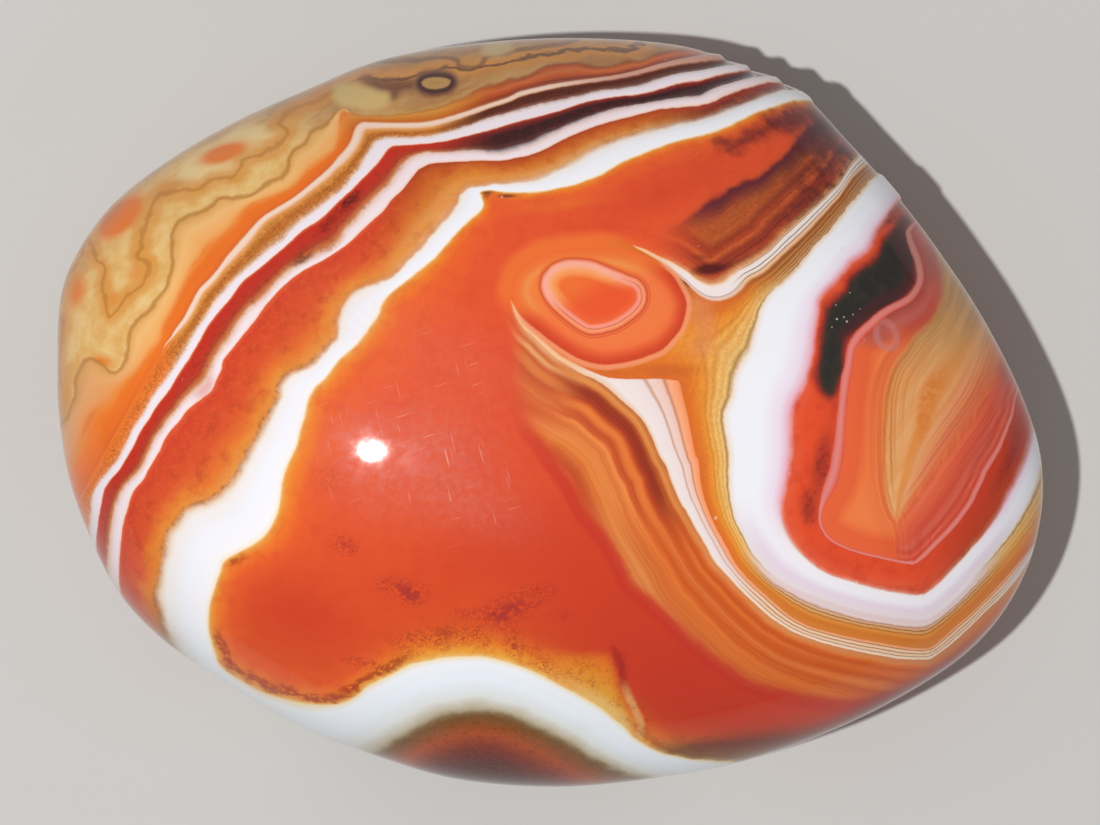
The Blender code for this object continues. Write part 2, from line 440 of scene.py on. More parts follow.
draw_edge("second_white_out", [
    (110, 590), (109, 565), (109.5, 550), (112, 530), (115, 510), (118, 500), (124, 490),
    (133, 480), (141, 470), (147, 460), (151, 450), (156, 440), (162, 430), (170, 420), (178, 410),
    (186, 400), (198, 390), (208, 380), (212, 370), (216, 360), (221, 350), (230, 340), (236, 330),
    (242, 320), (249, 310), (262, 300), (272, 290), (282, 280), (292, 270), (310, 260), (331, 250),
    (342, 240), (348, 230), (357, 220), (365, 210), (373, 202), (382, 193), (390, 185), (397, 176),
    (403, 167), (411, 158), (422, 154), (440, 153), (460, 152), (480, 152), (500, 153), (511, 151),
    (530, 146), (545, 138), (560, 131), (575, 124), (590, 119), (605, 113), (620, 109),
    (640, 104.5), (660, 101), (680, 98), (700, 95.5), (710, 90), (720, 86), (740, 80), (760, 76),
    (780, 76), (800, 80),
], MIDDLE)
draw_edge("second_white_in", [
    (128, 620), (120, 590), (119, 570), (120, 550), (122, 530), (124, 520), (127, 510), (130, 500),
    (134, 490), (143, 480), (148, 470), (154, 460), (160, 450), (164, 440), (171, 430), (180, 420),
    (187, 410), (200, 400), (212, 390), (216, 380), (221, 370), (223, 360), (231, 350), (239, 340),
    (247, 330), (255, 320), (262, 310), (270, 300), (279, 290), (290, 280), (304, 270), (323, 260),
    (339, 250), (352, 240), (362, 230), (373, 220), (384, 210), (391, 200), (402, 190), (410, 180),
    (417, 171), (421, 168), (426, 165.5), (430, 163.7), (440, 162.4), (450, 162), (480, 160.5),
    (500, 160.5), (515, 158), (530, 155), (545, 149), (560, 141), (575, 134), (590, 128),
    (605, 123), (620, 119), (640, 114), (660, 109), (680, 107), (700, 105), (712, 102), (720, 98),
    (730, 93.5), (740, 90), (750, 87), (760, 84), (770, 82), (785, 82.5), (805, 86),
], MIDDLE)
draw_edge("great_white_out", [
    (810, 90), (785, 90), (770, 94), (760, 97.5), (750, 101), (740, 105), (730, 109), (720, 112.5),
    (710, 116), (700, 119), (690, 121.5), (680, 123.5), (670, 126), (660, 129), (650, 131),
    (640, 134), (630, 137), (620, 140), (610, 144), (600, 148), (590, 153), (580, 160), (570, 165),
    (560, 170), (550, 175), (540, 178), (530, 180.5), (520, 182), (500, 183.5), (482, 185),
    (468, 188), (460, 194), (457, 203), (450, 213), (443, 221), (427, 240), (409, 260), (386, 280),
    (362, 288), (347, 300), (341, 315), (338, 335), (330, 345), (318, 358), (305, 370), (290, 376),
    (282, 385), (278, 400), (268, 420), (258, 440), (245, 462), (236, 477), (228, 488), (220, 497),
    (210, 502), (200, 505), (190, 509), (183, 515), (175, 525), (170, 533), (166, 546), (163, 559),
    (160, 575), (158, 590), (160, 605), (165, 625), (172, 645), (184, 672), (202, 704), (228, 738),
    (262, 768), (305, 786), (340, 780), (362, 764), (380, 752), (395, 743), (410, 734), (425, 726),
    (440, 720), (460, 715), (480, 713), (500, 716), (520, 722), (540, 731), (560, 741), (580, 752),
    (600, 763), (613, 770), (640, 779), (670, 787),
], MIDDLE)
draw_edge("great_white_in", [
    (830, 106), (815, 102), (800, 101), (790, 102), (780, 105), (770, 109), (760, 112), (750, 116),
    (740, 121), (730, 126), (720, 130), (710, 133), (700, 136), (690, 138.5), (680, 141),
    (670, 143.5), (660, 147), (650, 150.5), (640, 155), (630, 159), (620, 164), (610, 169.5),
    (600, 175), (590, 179), (580, 183), (570, 186), (560, 188), (550, 190), (540, 191),
    (520, 192.5), (500, 191.5), (490, 190), (479, 191), (479, 191), (484, 203), (484, 203),
    (481, 211), (469, 220), (450, 240), (432, 260), (407, 280), (384, 300), (378, 315), (368, 330),
    (358, 343), (347, 353), (337, 362), (325, 378), (315, 387), (308, 400), (305, 415), (300, 430),
    (297, 445), (292, 455), (286, 468), (283, 480), (281, 495), (278, 510), (273, 524), (265, 535),
    (252, 545), (240, 552), (228, 558), (223, 563), (221, 570), (217, 580), (213, 592), (210, 605),
    (208, 620), (210, 635), (214, 650), (220, 665), (232, 675), (245, 683), (262, 692), (280, 698),
    (300, 703), (325, 705), (345, 702), (357, 695), (365, 688), (380, 680), (395, 672), (410, 665),
    (430, 660), (450, 657), (480, 656.5), (500, 660), (520, 666), (540, 675), (560, 685),
    (580, 696), (600, 708), (613, 718), (625, 728), (632, 736), (640, 742), (660, 752), (680, 757),
    (700, 760), (730, 762),
], MIDDLE)

# %% [markdown]
# On the right a second family of layers fills what was left of the hollow: a ribbon of fine
# white and tan lines that loops over a small eye, a broad white band, a pink line, and inside
# them all a nest of threads that meet in a point. They are drawn in the same way. Where the
# ribbon thins to nothing over the eye, its two lines cross, so that no width is left.

# %% Lines of the ribbon and the fourth white band
NEST = (905.0, 450.0)

draw_edge("ribbon_out", [
    (880, 128), (868, 142), (857, 156), (850, 164), (840, 181), (830, 191), (820, 201), (810, 210),
    (800, 219), (790, 228), (780, 237), (770, 248), (760, 255), (750, 262), (740, 267), (730, 274),
    (723, 280), (717, 282.5), (710, 283.5), (703, 281.5), (695, 277), (690, 272.5), (680, 266),
    (670, 260), (660, 256), (650, 251), (640, 247), (630, 245), (615, 246), (585, 248), (560, 250),
    (541, 255), (526, 264), (515, 277), (510, 292), (511, 304), (515, 316), (522, 328), (533, 338),
    (543, 348), (555, 359), (569, 367), (582, 374), (594, 379), (608, 388), (621, 400), (635, 412),
    (645, 424), (653, 440), (659, 455), (666, 466), (672, 483), (680, 502), (686, 511), (693, 524),
    (700, 536), (707, 548), (714, 561), (722, 570), (730, 579), (740, 590), (750, 600), (760, 609),
    (770, 618), (780, 624.5), (790, 631), (800, 635.5), (810, 639), (820, 642.5), (840, 648),
    (860, 652.5), (880, 656), (900, 659.5), (920, 660), (931, 659.5), (940, 653), (950, 646),
    (960, 637), (970, 628), (980, 618), (990, 608), (1000, 599), (1019, 577), (1034, 552),
], NEST)
draw_edge("ribbon_in", [
    (888, 142), (872, 160), (857, 174), (850, 182), (840, 197), (830, 208), (820, 219), (810, 230),
    (800, 240), (790, 249), (780, 258), (771, 267), (764, 273), (751, 280), (746, 285), (740, 292),
    (730, 298), (720, 301), (710, 300.5), (700, 296), (690, 287), (684, 281), (670, 270),
    (660, 262), (649, 255.5), (639, 250), (628, 243), (612, 240), (585, 240), (558, 242),
    (536, 247), (518, 259), (507, 275), (506, 292), (513, 303), (519, 313), (526, 323), (536, 333),
    (547, 343), (560, 354), (574, 362), (588, 370), (600, 375), (609, 378), (625, 379), (645, 379),
    (664, 379), (680, 381), (680, 381), (684, 397), (688, 414), (692, 434), (696, 455), (699, 460),
    (701, 480), (703, 490), (705.5, 500), (709, 510), (713, 520), (718, 530), (723.5, 540),
    (729, 550), (734, 560), (741, 570), (750, 580), (760, 589), (770, 598), (780, 607), (790, 615),
    (800, 621), (810, 626), (820, 629), (840, 634), (860, 638.5), (880, 642), (900, 645.6),
    (920, 648), (931, 647), (940, 640), (950, 631), (960, 622), (970, 614), (980, 604), (990, 594),
    (1005, 578), (1022, 558),
], NEST)
draw_edge("wedge_side", [
    (672, 300), (677, 350), (680.5, 381), (684, 397), (688, 414), (692, 434), (696, 455),
    (699, 460), (701, 480), (703, 490), (705.5, 500), (709, 510), (713, 520), (718, 530),
    (723.5, 540), (729, 550), (734, 560), (741, 570), (750, 580), (760, 589), (770, 598),
    (780, 607), (790, 615), (800, 621), (810, 626), (820, 629), (840, 634), (860, 638.5),
    (880, 642), (900, 645.6), (920, 648), (931, 647), (940, 640), (950, 631), (960, 622),
    (970, 614), (980, 604), (990, 594), (1005, 578), (1022, 558),
], NEST)
draw_edge("fourth_white_out", [
    (895, 158), (884, 170), (876, 177), (870, 182), (860, 195), (850, 206), (840, 219), (830, 232),
    (820, 242), (810, 253), (802, 264), (792, 275), (782, 284), (774, 290), (766, 300), (760, 311),
    (758, 321), (755, 330), (752, 340), (749, 350), (743, 360), (738, 370), (734.5, 380),
    (733, 390), (730.5, 400), (725.5, 410), (724, 420), (725.5, 430), (727.5, 440), (729, 450),
    (729.6, 460), (729.5, 480), (731, 500), (736, 520), (741, 530), (746, 540), (751, 550),
    (759, 560), (768, 570), (778, 578), (790, 584), (805, 591), (820, 597), (840, 604), (860, 610),
    (880, 614), (900, 617), (920, 618), (929, 616), (940, 609), (950, 600), (960, 590.5),
    (970, 580), (980, 569), (990, 557.5), (1000, 546), (1010, 533), (1019, 520), (1026, 507.6),
    (1032, 495), (1037, 482), (1041, 465),
], NEST)
draw_edge("fourth_white_in", [
    (912, 188), (897, 202), (890, 211), (880, 224), (875, 232), (871, 242), (866, 251), (858, 257),
    (850, 262), (845, 269), (835, 281), (826, 290), (819, 300), (818, 310), (816.7, 320),
    (815.4, 330), (814, 340), (813, 350), (811, 360), (809, 370), (806, 380), (801, 390),
    (795, 400), (791, 412), (790.6, 430), (790.6, 450), (789, 460), (788, 470), (786.5, 480),
    (784, 490), (782, 500), (781.4, 510), (783, 520), (786, 530), (791, 540), (798.6, 550),
    (809, 560), (820, 568.7), (830, 574), (840, 577.5), (850, 580.5), (860, 583.5), (870, 586.5),
    (880, 588.5), (890, 591), (900, 592.5), (910, 594), (922, 595), (922, 595), (934, 587),
    (943, 579), (952, 569), (962, 558.6), (971, 548), (980, 538.5), (990, 525.5), (998, 514),
    (1004, 502.5), (1009, 492), (1015, 481), (1021, 469), (1026, 456.5), (1029.6, 444), (1032, 431),
    (1034, 415),
], NEST)

# %% Lines inside the fourth white band
draw_edge("pink_line", [
    (922, 216, 1.4), (915, 223, 1.6), (909, 231, 3), (910, 239, 3.5), (914, 250, 4), (918, 260, 4),
    (920, 270, 4), (920.5, 278, 4), (918, 287, 4), (911, 297, 4), (902, 303, 4), (891, 308.5, 4),
    (881, 315, 4.5), (871, 324, 4.5), (862, 332, 4.6), (855, 341, 5), (851, 350, 4.5),
    (848.5, 366, 4.5), (845.5, 380, 5), (843, 400, 4.5), (841, 420, 5), (839.5, 440, 5.4),
    (837.5, 455, 6), (835, 470, 6), (831, 482, 6.4), (827, 492, 5.5), (823, 502, 3.4),
    (820.5, 512, 2.3), (820, 521, 1.8), (823, 530, 1.6), (830, 539, 1.5), (840, 545, 1.5),
    (850, 549.5, 1.5), (860, 552.5, 1.5), (870, 555, 1.5), (880, 557, 1.6), (890, 559.5, 1.7),
    (902, 562, 1.9), (914, 563.5, 2), (914, 563.5, 2), (921, 558, 2.6), (929, 550, 2.8),
    (939, 540, 3), (948, 531, 3.2), (955, 523, 3.2), (962, 514, 3.2), (970, 502.5, 3.2),
    (975, 492, 3.2), (980, 482, 3.2), (984, 472, 3.2), (990, 462, 3.2), (998, 449, 2.8),
    (1004, 435, 2.4), (1008, 424.5, 2), (1012, 414, 1.8), (1015, 398, 1.4), (1022, 380, 1),
    (1032, 360, 1),
], NEST)
draw_edge("green_pool", [
    (900, 231), (905, 238), (909, 248.5), (910, 260), (910, 270), (908, 279), (903, 288),
    (894, 297), (882, 305), (872, 311), (863, 318), (856, 325), (847, 332), (843, 341), (842, 353),
    (840, 369), (837, 381), (832, 394), (825, 391), (820.5, 380), (820, 370), (821, 360),
    (822, 350), (824, 340), (825.5, 326), (828, 315), (833, 306), (842, 299), (848, 292),
    (850, 283), (856, 276), (865, 271), (874, 266), (879, 258), (883, 248), (889, 239),
], (885, 285), closed=True, fades=0.8)
draw_edge("nest_left", [
    (918, 214), (926, 232), (934, 250), (939, 272), (940, 290), (937, 305), (929, 319), (914, 333),
    (903, 348), (894, 360), (887, 374), (883, 388), (881, 402), (880, 430), (880, 462), (882, 488),
    (886, 506), (893, 520), (896, 524), (900, 560), (902, 640),
], (915, 420))
draw_edge("nest_right", [
    (1012, 300), (1006, 345), (1000, 368), (990, 392), (976, 416), (960, 438), (943, 462),
    (927, 485), (910, 508), (897, 524), (897, 524), (897, 560), (897, 640),
], (915, 420))
draw_edge("nest_heart", [
    (985, 250), (976, 300), (966, 325), (954, 348), (944, 366), (934, 385), (927, 408), (921, 440),
    (912, 480), (900, 521), (896, 560),
], (860, 420))

draw_edge("curl", [
    (876, 322), (884, 321), (892, 326), (896, 335), (897, 343), (892, 348), (884, 347), (878, 341),
    (877, 336),
], (888, 336))

# %% [markdown]
# The small eye is a tube seen end on, so its lines are closed. Their distances also fall with
# depth, so that the tube narrows and ends inside the stone and doesn't come out at the back.

# %% Lines of the eye and the small rings
EYE = (595.0, 300.0)

draw_edge("eye_ring", [
    (541.5, 284), (544, 275), (550, 267.5), (558, 262.5), (569, 260), (581, 260), (593, 262),
    (605, 266.5), (617, 271.5), (629, 276.5), (638, 280), (644, 287), (646, 296), (644.5, 304),
    (640, 311), (633, 318), (624, 324), (614, 329), (604, 332), (594, 333.5), (586, 332.5),
    (577, 327.5), (567, 320), (558, 312.5), (550, 304), (544, 295),
], EYE, closed=True, fades=0.6)
draw_edge("eye_rim", [
    (511, 288), (516, 273), (526, 262), (542, 253.5), (562, 249), (585, 247), (610, 247),
    (635, 252), (655, 262), (670, 273), (680, 287), (686, 301), (686, 312), (682, 326), (674, 338),
    (664, 348.5), (649, 355.5), (635, 360.5), (619, 363.5), (602, 364.5), (588, 362), (574, 356),
    (560, 347), (546, 337), (531, 325), (519, 313), (512, 300),
], EYE, closed=True, fades=0.4)
draw_edge("ring_knot", [
    (422, 83), (425, 79.5), (432, 77.5), (440, 78), (447, 79.5), (450, 82), (447, 86), (440, 88.5),
    (432, 89), (425, 87),
], (436, 83), closed=True, fades=0.6)
draw_edge("brown_tongue", [
    (360, 80), (372, 77.5), (388, 78), (404, 78), (416, 80), (416, 90), (404, 91), (398, 97),
    (390, 100), (388, 93), (380, 92), (368, 88), (361, 84),
], (390, 86), closed=True, fades=0.6)
draw_edge("cream_tongue", [
    (336, 84), (350, 83), (362, 86), (376, 91), (386, 94), (389, 99), (385, 105), (376, 109),
    (364, 110), (352, 107), (342, 105), (334, 98),
], (362, 98), closed=True, fades=0.6)
draw_edge("cream_lens", [
    (482, 50), (486, 44), (497, 41), (508, 43), (512, 49), (504, 54), (494, 55.5), (486, 54),
], (497, 48), closed=True, fades=0.6)

# %% [markdown]
# Between the two families lies the wide red heart of the stone. It isn't plain: a fan of brown
# streaks hangs under the ribbon, a maroon seam and a cloud cross its upper right corner, and an
# amber wedge stands beside the lower arch.

# %% Lines in the red heart
draw_edge("grain_edge", [
    (520, 240), (509, 280), (506, 300), (510, 330), (511, 365), (514, 400), (524, 428), (540, 452),
    (555, 473), (568, 492), (580, 514), (596, 534), (610, 553), (619, 572), (630, 591), (650, 607),
    (671, 627), (695, 649), (719, 668), (738, 681), (760, 692), (801, 702), (850, 707), (886, 701),
    (915, 690), (960, 665),
], (800, 500))
draw_edge("maroon_seam", [
    (640, 240, -1), (668, 228, 0.4), (690, 216, 1.5), (700, 211, 2.4), (710, 205.5, 3),
    (720, 199, 3), (730, 192, 3), (740, 187.5, 3), (750, 183, 3), (760, 178.5, 3), (770, 171, 3),
    (780, 163, 3), (790, 155, 3), (797, 147, 4), (803, 139, 5), (812, 131, 6), (826, 122, 7),
    (840, 114, 8),
], (820, 180))
draw_edge("maroon_cloud", [
    (717, 138), (722, 145), (732, 151), (742, 151), (754, 147), (766, 140), (781, 133), (800, 130),
    (820, 122), (838, 114), (826, 104), (804, 103), (788, 105), (775, 110), (765, 117), (759, 125),
    (750, 131), (738, 137), (727, 139),
], (785, 120), closed=True, fades=0.5)
draw_edge("amber_wedge", [
    (520, 640), (560, 650), (600, 650), (613, 655), (618, 668), (621, 685), (628, 702), (634, 716),
    (638, 726), (633, 737), (600, 730), (560, 712), (520, 690),
], (590, 690), closed=True, fades=0.5)
print(len(edges), "distances at every corner")

# %% [markdown]
# Some colours have no edge at all: orange stains in the lace, deeper red at one end of the
# heart, a shadow towards the lower rim. Each is a soft oval mark, strongest at its middle. They
# are kept as a few gentle fields on the mesh. They fade below the girdle, out of the picture.

# %% Soft marks
FADE_DEPTH = 45.0  # pixels of depth over which a mark fades under the girdle


def soft_marks(name, marks):
    """Adds up ovals of x, y, half length, half width, turn in degrees and strength."""
    total = np.zeros(len(points))
    for x, y, half_long, half_wide, turn, strength in marks:
        turn = math.radians(turn)
        dx = place_x - x
        dy = place_y - y
        along = (dx * math.cos(turn) + dy * math.sin(turn)) / half_long
        across = (dy * math.cos(turn) - dx * math.sin(turn)) / half_wide
        total += strength * np.exp(-(along**2 + across**2))
    edges[name] = total * np.exp(-depth_px / FADE_DEPTH)
    print(f"{name}: {len(marks)} marks, up to {total.max():.2f}")


soft_marks("orange_stain", [
    (120, 217, 27, 13, -42, 1.0), (224, 153, 25, 9, -18, 0.8), (76, 290, 11, 22, 8, 0.5),
    (97, 363, 15, 7, 0, 0.6), (112, 300, 8, 11, 30, 0.4), (137, 272, 9, 14, 20, 0.35),
])
soft_marks("brown_stain", [
    (170, 188, 28, 7, -25, 0.6), (200, 222, 26, 7, -20, 0.55), (62, 332, 6, 26, 5, 0.7),
    (150, 172, 34, 8, -32, 0.7), (112, 212, 30, 7, -50, 0.5), (85, 262, 30, 8, -62, 0.5),
    (212, 138, 36, 6, -28, 0.55), (290, 112, 40, 7, -28, 0.35), (330, 86, 26, 5, -20, 0.8),
    (455, 64, 12, 5, 0, 0.8), (410, 64, 30, 4, -8, 0.6), (400, 84, 30, 7, 0, 0.5),
    (606, 46, 20, 4, 0, 0.7), (565, 47, 30, 3, -5, 0.4),
])
soft_marks("deep_red", [
    (700, 700, 110, 50, 10, 0.7), (650, 640, 110, 50, 42, 0.5), (300, 615, 60, 34, 24, 0.75),
    (670, 190, 90, 20, -22, 0.55), (470, 560, 90, 40, -20, 0.45), (520, 400, 60, 80, 0, 0.3),
    (470, 480, 60, 60, 0, 0.2), (570, 545, 70, 60, 30, 0.4),
])
soft_marks("pink_blush", [
    (204, 388, 16, 9, -50, 1.0), (268, 306, 10, 6, -45, 0.5), (160, 430, 12, 6, -60, 0.5),
])
soft_marks("amber", [
    (560, 205, 70, 8, -8, 0.3), (580, 672, 50, 14, 25, 0.5), (300, 470, 16, 60, 14, 0.3),
])
soft_marks("moss_rim", [
    (250, 680, 60, 20, 25, 1.0), (330, 690, 40, 20, 0, 1.0), (385, 662, 30, 16, -25, 0.8),
    (222, 650, 14, 24, 0, 0.7), (236, 560, 14, 8, -20, 0.6), (640, 740, 60, 16, 25, 0.5),
])
soft_marks("notch", [
    (503, 195, 22, 2.4, 8, 0.9), (486, 196, 4, 5, 0, 0.6), (494, 208, 8, 3, -10, 0.35),
])
soft_marks("rim_shadow", [
    (760, 752, 95, 22, -8, 1.0), (880, 712, 80, 18, -28, 0.8), (960, 660, 60, 14, -42, 0.5),
    (700, 752, 60, 12, 0, 0.6), (470, 775, 130, 18, 4, 0.7), (152, 610, 12, 60, -14, 0.6),
    (905, 222, 20, 12, 45, 0.5), (1024, 415, 10, 40, -18, 0.7), (830, 130, 30, 14, 30, 0.5),
])
soft_marks("dendrites", [
    (345, 545, 14, 9, 30, 0.9), (402, 588, 24, 9, 10, 1.0), (412, 598, 12, 8, 0, 0.8),
    (515, 606, 26, 12, -15, 1.0), (502, 622, 12, 8, 30, 0.7), (513, 646, 8, 9, 0, 1.1),
    (365, 664, 22, 5, 12, 0.9), (455, 632, 34, 6, 0, 0.7), (562, 616, 14, 8, 0, 0.4),
    (621, 664, 7, 13, -15, 0.9), (592, 684, 5, 8, 20, 0.5), (408, 645, 12, 10, 30, 0.6),
    (330, 478, 22, 16, 0, 0.35), (440, 640, 30, 8, 0, 0.6), (540, 590, 20, 8, 0, 0.5),
    (700, 150, 30, 10, -20, 0.25), (812, 508, 10, 16, -20, 1.0), (822, 460, 10, 34, 8, 0.5),
    (545, 668, 14, 6, 30, 0.6), (480, 614, 40, 6, 0, 0.5),
])
soft_marks("tan_nook", [
    (704, 318, 13, 24, -10, 1.0), (700, 350, 20, 12, 0, 0.6), (690, 305, 8, 12, -20, 0.5),
])
soft_marks("red_nook", [
    (668, 370, 40, 7, 0, 0.9), (610, 371, 20, 4, 20, 0.6), (716, 310, 30, 6, -10, 0.5),
])
soft_marks("dark_spot", [
    (686, 282, 9, 3.5, 42, 1.0), (708, 269, 17, 6, -8, 1.1), (735, 262, 20, 4, -28, 0.5),
    (700, 257, 14, 2.5, -3, 0.6), (812, 200, 10, 6, -30, 0.5), (760, 248, 24, 4, -38, 0.4),
    (348, 199, 18, 9, -42, 1.0), (302, 260, 15, 8, -45, 0.8), (326, 226, 14, 7, -45, 0.6),
])
soft_marks("cell_shadow", [
    (822, 465, 11, 38, 8, 1.0), (808, 510, 8, 18, -10, 1.0), (836, 400, 6, 20, 6, 0.5),
    (899, 213, 24, 13, -45, 1.4), (835, 560, 40, 8, 20, 0.4), (1005, 470, 8, 40, 28, 0.6),
    (1016, 430, 10, 30, 10, 0.6), (960, 560, 30, 8, -45, 0.5), (905, 590, 50, 5, 6, 0.5),
])
soft_marks("nest_orange", [
    (925, 410, 9, 34, 8, 1.0), (940, 380, 10, 22, 20, 0.6), (888, 400, 6, 26, 0, 0.4),
])
soft_marks("rim_mauve", [
    (985, 450, 14, 34, 26, 0.45), (932, 262, 9, 24, -14, 1.0), (1002, 366, 8, 26, -20, 0.8),
    (962, 415, 12, 8, 0, 0.4), (880, 336, 18, 12, -30, 0.8),
])
# the pale haze of worn polish and the painted glow of the lamp round the highlight
soft_marks("scratch_haze_and_glow", [
    (425, 450, 80, 55, 20, 1.0), (350, 445, 34, 34, 0, 0.6), (440, 350, 110, 40, 20, 0.4),
    (480, 510, 60, 26, 20, 0.5), (370, 500, 50, 26, 10, 0.4),
])

# %% [markdown]
# Harder layers stand a hair proud of the softer ones between them, because polishing wears them
# down more slowly. It shows best at the upper right rim, where the outline has small steps. So
# the corners there are lifted a little in the white bands and sunk in the brown ones.

# %% Relief along the upper right rim
PROUD = 0.16 * MM
SUNK = 0.20 * MM
RELIEF_START = (560, 330)  # the relief grows from this place to the right and upwards
RELIEF_GROWTH = (160, 120)  # pixels over which it comes to its full height
RIM_START = 0.55  # and from this share of the way from the middle to the girdle
RIM_GROWTH = 0.3
WHITE_LAYERS = [
    ("cream_line_out", "cream_line_in"), ("first_white_out", "first_white_in"),
    ("second_white_out", "second_white_in"), ("great_white_out", "great_white_in"),
    ("fourth_white_out", "fourth_white_in"),
]
BROWN_LAYERS = [
    ("cream_line_in", "first_white_out"), ("first_white_in", "second_white_out"),
    ("second_white_in", "great_white_out"),
]


def between(outer, inner, fog=5.0):
    """1 where outer is past and inner isn't yet, with a soft step of fog pixels at each edge."""
    entered = np.clip(edges[outer] / fog + 0.5, 0, 1)
    left = np.clip(edges[inner] / fog + 0.5, 0, 1)
    return entered * (1 - left)


white = sum(between(outer, inner) for outer, inner in WHITE_LAYERS)
brown = sum(between(outer, inner) for outer, inner in BROWN_LAYERS)
to_right = np.clip((place_x - RELIEF_START[0]) / RELIEF_GROWTH[0], 0, 1)
upwards = np.clip((RELIEF_START[1] - place_y) / RELIEF_GROWTH[1], 0, 1)
rim_side = to_right * upwards * np.exp(-depth_px / FADE_DEPTH)
near_rim = np.clip((ring_number / RINGS - RIM_START) / RIM_GROWTH, 0, 1)
near_rim = np.concatenate([near_rim, np.ones(len(bowl))])
lift = (PROUD * np.clip(white, 0, 1) - SUNK * np.clip(brown, 0, 1)) * rim_side * near_rim
outward = points - np.array([0, 0, GIRDLE_HEIGHT])
outward /= np.linalg.norm(outward, axis=1)[:, None]
points = points + outward * lift[:, None]
print("relief from", round(lift.min() / MM, 2), "to", round(lift.max() / MM, 2), "mm")

# %% [markdown]
# Now the mesh can be made. The distances go into it as attributes, one number for each corner.
# It also gets a flat map for baking its colours later: the dome fills the upper part of the
# map and the bowl the lower part, each as the square grid it grew from, so no texel is lost.

# %% Make the skin
DOME_MAP = (0.42, 0.995)  # the dome's lowest and highest place in the map
BOWL_MAP = (0.005, 0.40)
MAP_MARGIN = 0.005

mesh = bpy.data.meshes.new("agate_skin")
mesh.from_pydata(points.tolist(), [], faces.tolist())
mesh.shade_smooth()
skin = bpy.data.objects.new("agate_skin", mesh)
bpy.context.scene.collection.objects.link(skin)

edges["picture_x"] = place_x
edges["picture_y"] = place_y
edges["depth"] = depth_px
for name, values in edges.items():
    attribute = mesh.attributes.new(name, "FLOAT", "POINT")
    attribute.data.foreach_set("value", values.astype(np.float32))

grid_x = MAP_MARGIN + (1 - 2 * MAP_MARGIN) * (column / side_cells + 0.5)
grid_y = row / side_cells + 0.5
dome_y = DOME_MAP[0] + (DOME_MAP[1] - DOME_MAP[0]) * grid_y
bowl_y = BOWL_MAP[0] + (BOWL_MAP[1] - BOWL_MAP[0]) * grid_y
in_grid = corner.ravel()
dome_loops = cells(in_grid.reshape(corner.shape), True).ravel()
bowl_loops = cells(in_grid.reshape(corner.shape), False).ravel()
map_x = np.concatenate([grid_x[dome_loops], grid_x[bowl_loops]])
map_y = np.concatenate([dome_y[dome_loops], bowl_y[bowl_loops]])
bake_map = mesh.uv_layers.new(name="OFBake")
bake_map.data.foreach_set("uv", np.column_stack([map_x, map_y]).ravel().astype(np.float32))
mesh.update()

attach(skin, "root")
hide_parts("lace_agate")
print("skin of", len(mesh.polygons), "faces")

# %% [markdown]
# Colours are written as they read on a screen, 0 to 255, and turned into the linear values that
# light is added up in. The helpers below keep the material's code short: one adds a node with its
# inputs, one does a sum, one mixes two colours, and one makes a colour ramp.

# %% Helpers for nodes
def screen(red, green, blue):
    """A screen colour as the linear colour that a shader takes."""
    linear = []
    for value in (red, green, blue):
        share = value / 255
        linear.append(share / 12.92 if share <= 0.04045 else ((share + 0.055) / 1.055) ** 2.4)
    return (*linear, 1.0)


def add(tree, kind, inputs=None, **settings):
    """A new node; each input is given by name or number, as a value or as another node's socket."""
    node = tree.nodes.new(kind)
    for name, value in settings.items():
        setattr(node, name, value)
    for key, value in (inputs or {}).items():
        if isinstance(value, bpy.types.NodeSocket):
            tree.links.new(value, node.inputs[key])
        else:
            node.inputs[key].default_value = value
    return node


def maths(tree, operation, a, b=0.0, clamp=False):
    node = add(tree, "ShaderNodeMath", {0: a, 1: b}, operation=operation, use_clamp=clamp)
    return node.outputs[0]


def mix(tree, a, b, share, how="MIX"):
    """Colour a turned into colour b by share."""
    node = add(tree, "ShaderNodeMix", {0: share, 6: a, 7: b}, data_type="RGBA", blend_type=how)
    return node.outputs[2]


def ramp(tree, place, stops):
    """A colour for each place from 0 to 1. A stop is a position and a red, a green and a blue."""
    node = add(tree, "ShaderNodeValToRGB", {0: place})
    elements = node.color_ramp.elements
    for element, (position, *colour) in zip(elements, (stops[0], stops[-1])):
        element.position = position
        element.color = screen(*colour)
    for position, *colour in stops[1:-1]:
        elements.new(position).color = screen(*colour)
    return node.outputs[0]


def smooth(tree, value, low, high, to_low=0.0, to_high=1.0):
    """Eases from to_low to to_high as value goes from low to high."""
    inputs = {0: value, 1: low, 2: high, 3: to_low, 4: to_high}
    node = add(tree, "ShaderNodeMapRange", inputs, interpolation_type="SMOOTHSTEP")
    return node.outputs[0]


def new_group(name, inputs, outputs):
    """An empty node group with the named number inputs, their values, and named outputs."""
    group = bpy.data.node_groups.new(name, "ShaderNodeTree")
    for label, value in inputs.items():
        socket = group.interface.new_socket(label, in_out="INPUT", socket_type="NodeSocketFloat")
        socket.default_value = value
    for label in outputs:
        group.interface.new_socket(label, in_out="OUTPUT", socket_type="NodeSocketFloat")
    return group, group.nodes.new("NodeGroupInput"), group.nodes.new("NodeGroupOutput")


# %% [markdown]
# Three effects come back in every layer, so each is a node group. Soft Edge turns a distance into
# a mask, and Fog says over how many pixels it fades in. Across Layer tells where a point lies
# between a layer's two edges, from 0 to 1. Thread is a fine line along a drawn edge.

# %% Node groups for edges
soft_edge, start, end = new_group("Soft Edge", {"Distance": 0.0, "Fog": 1.5}, ["Mask"])
share = maths(soft_edge, "DIVIDE", start.outputs["Distance"], start.outputs["Fog"])
soft_edge.links.new(smooth(soft_edge, share, -0.5, 0.5), end.inputs["Mask"])

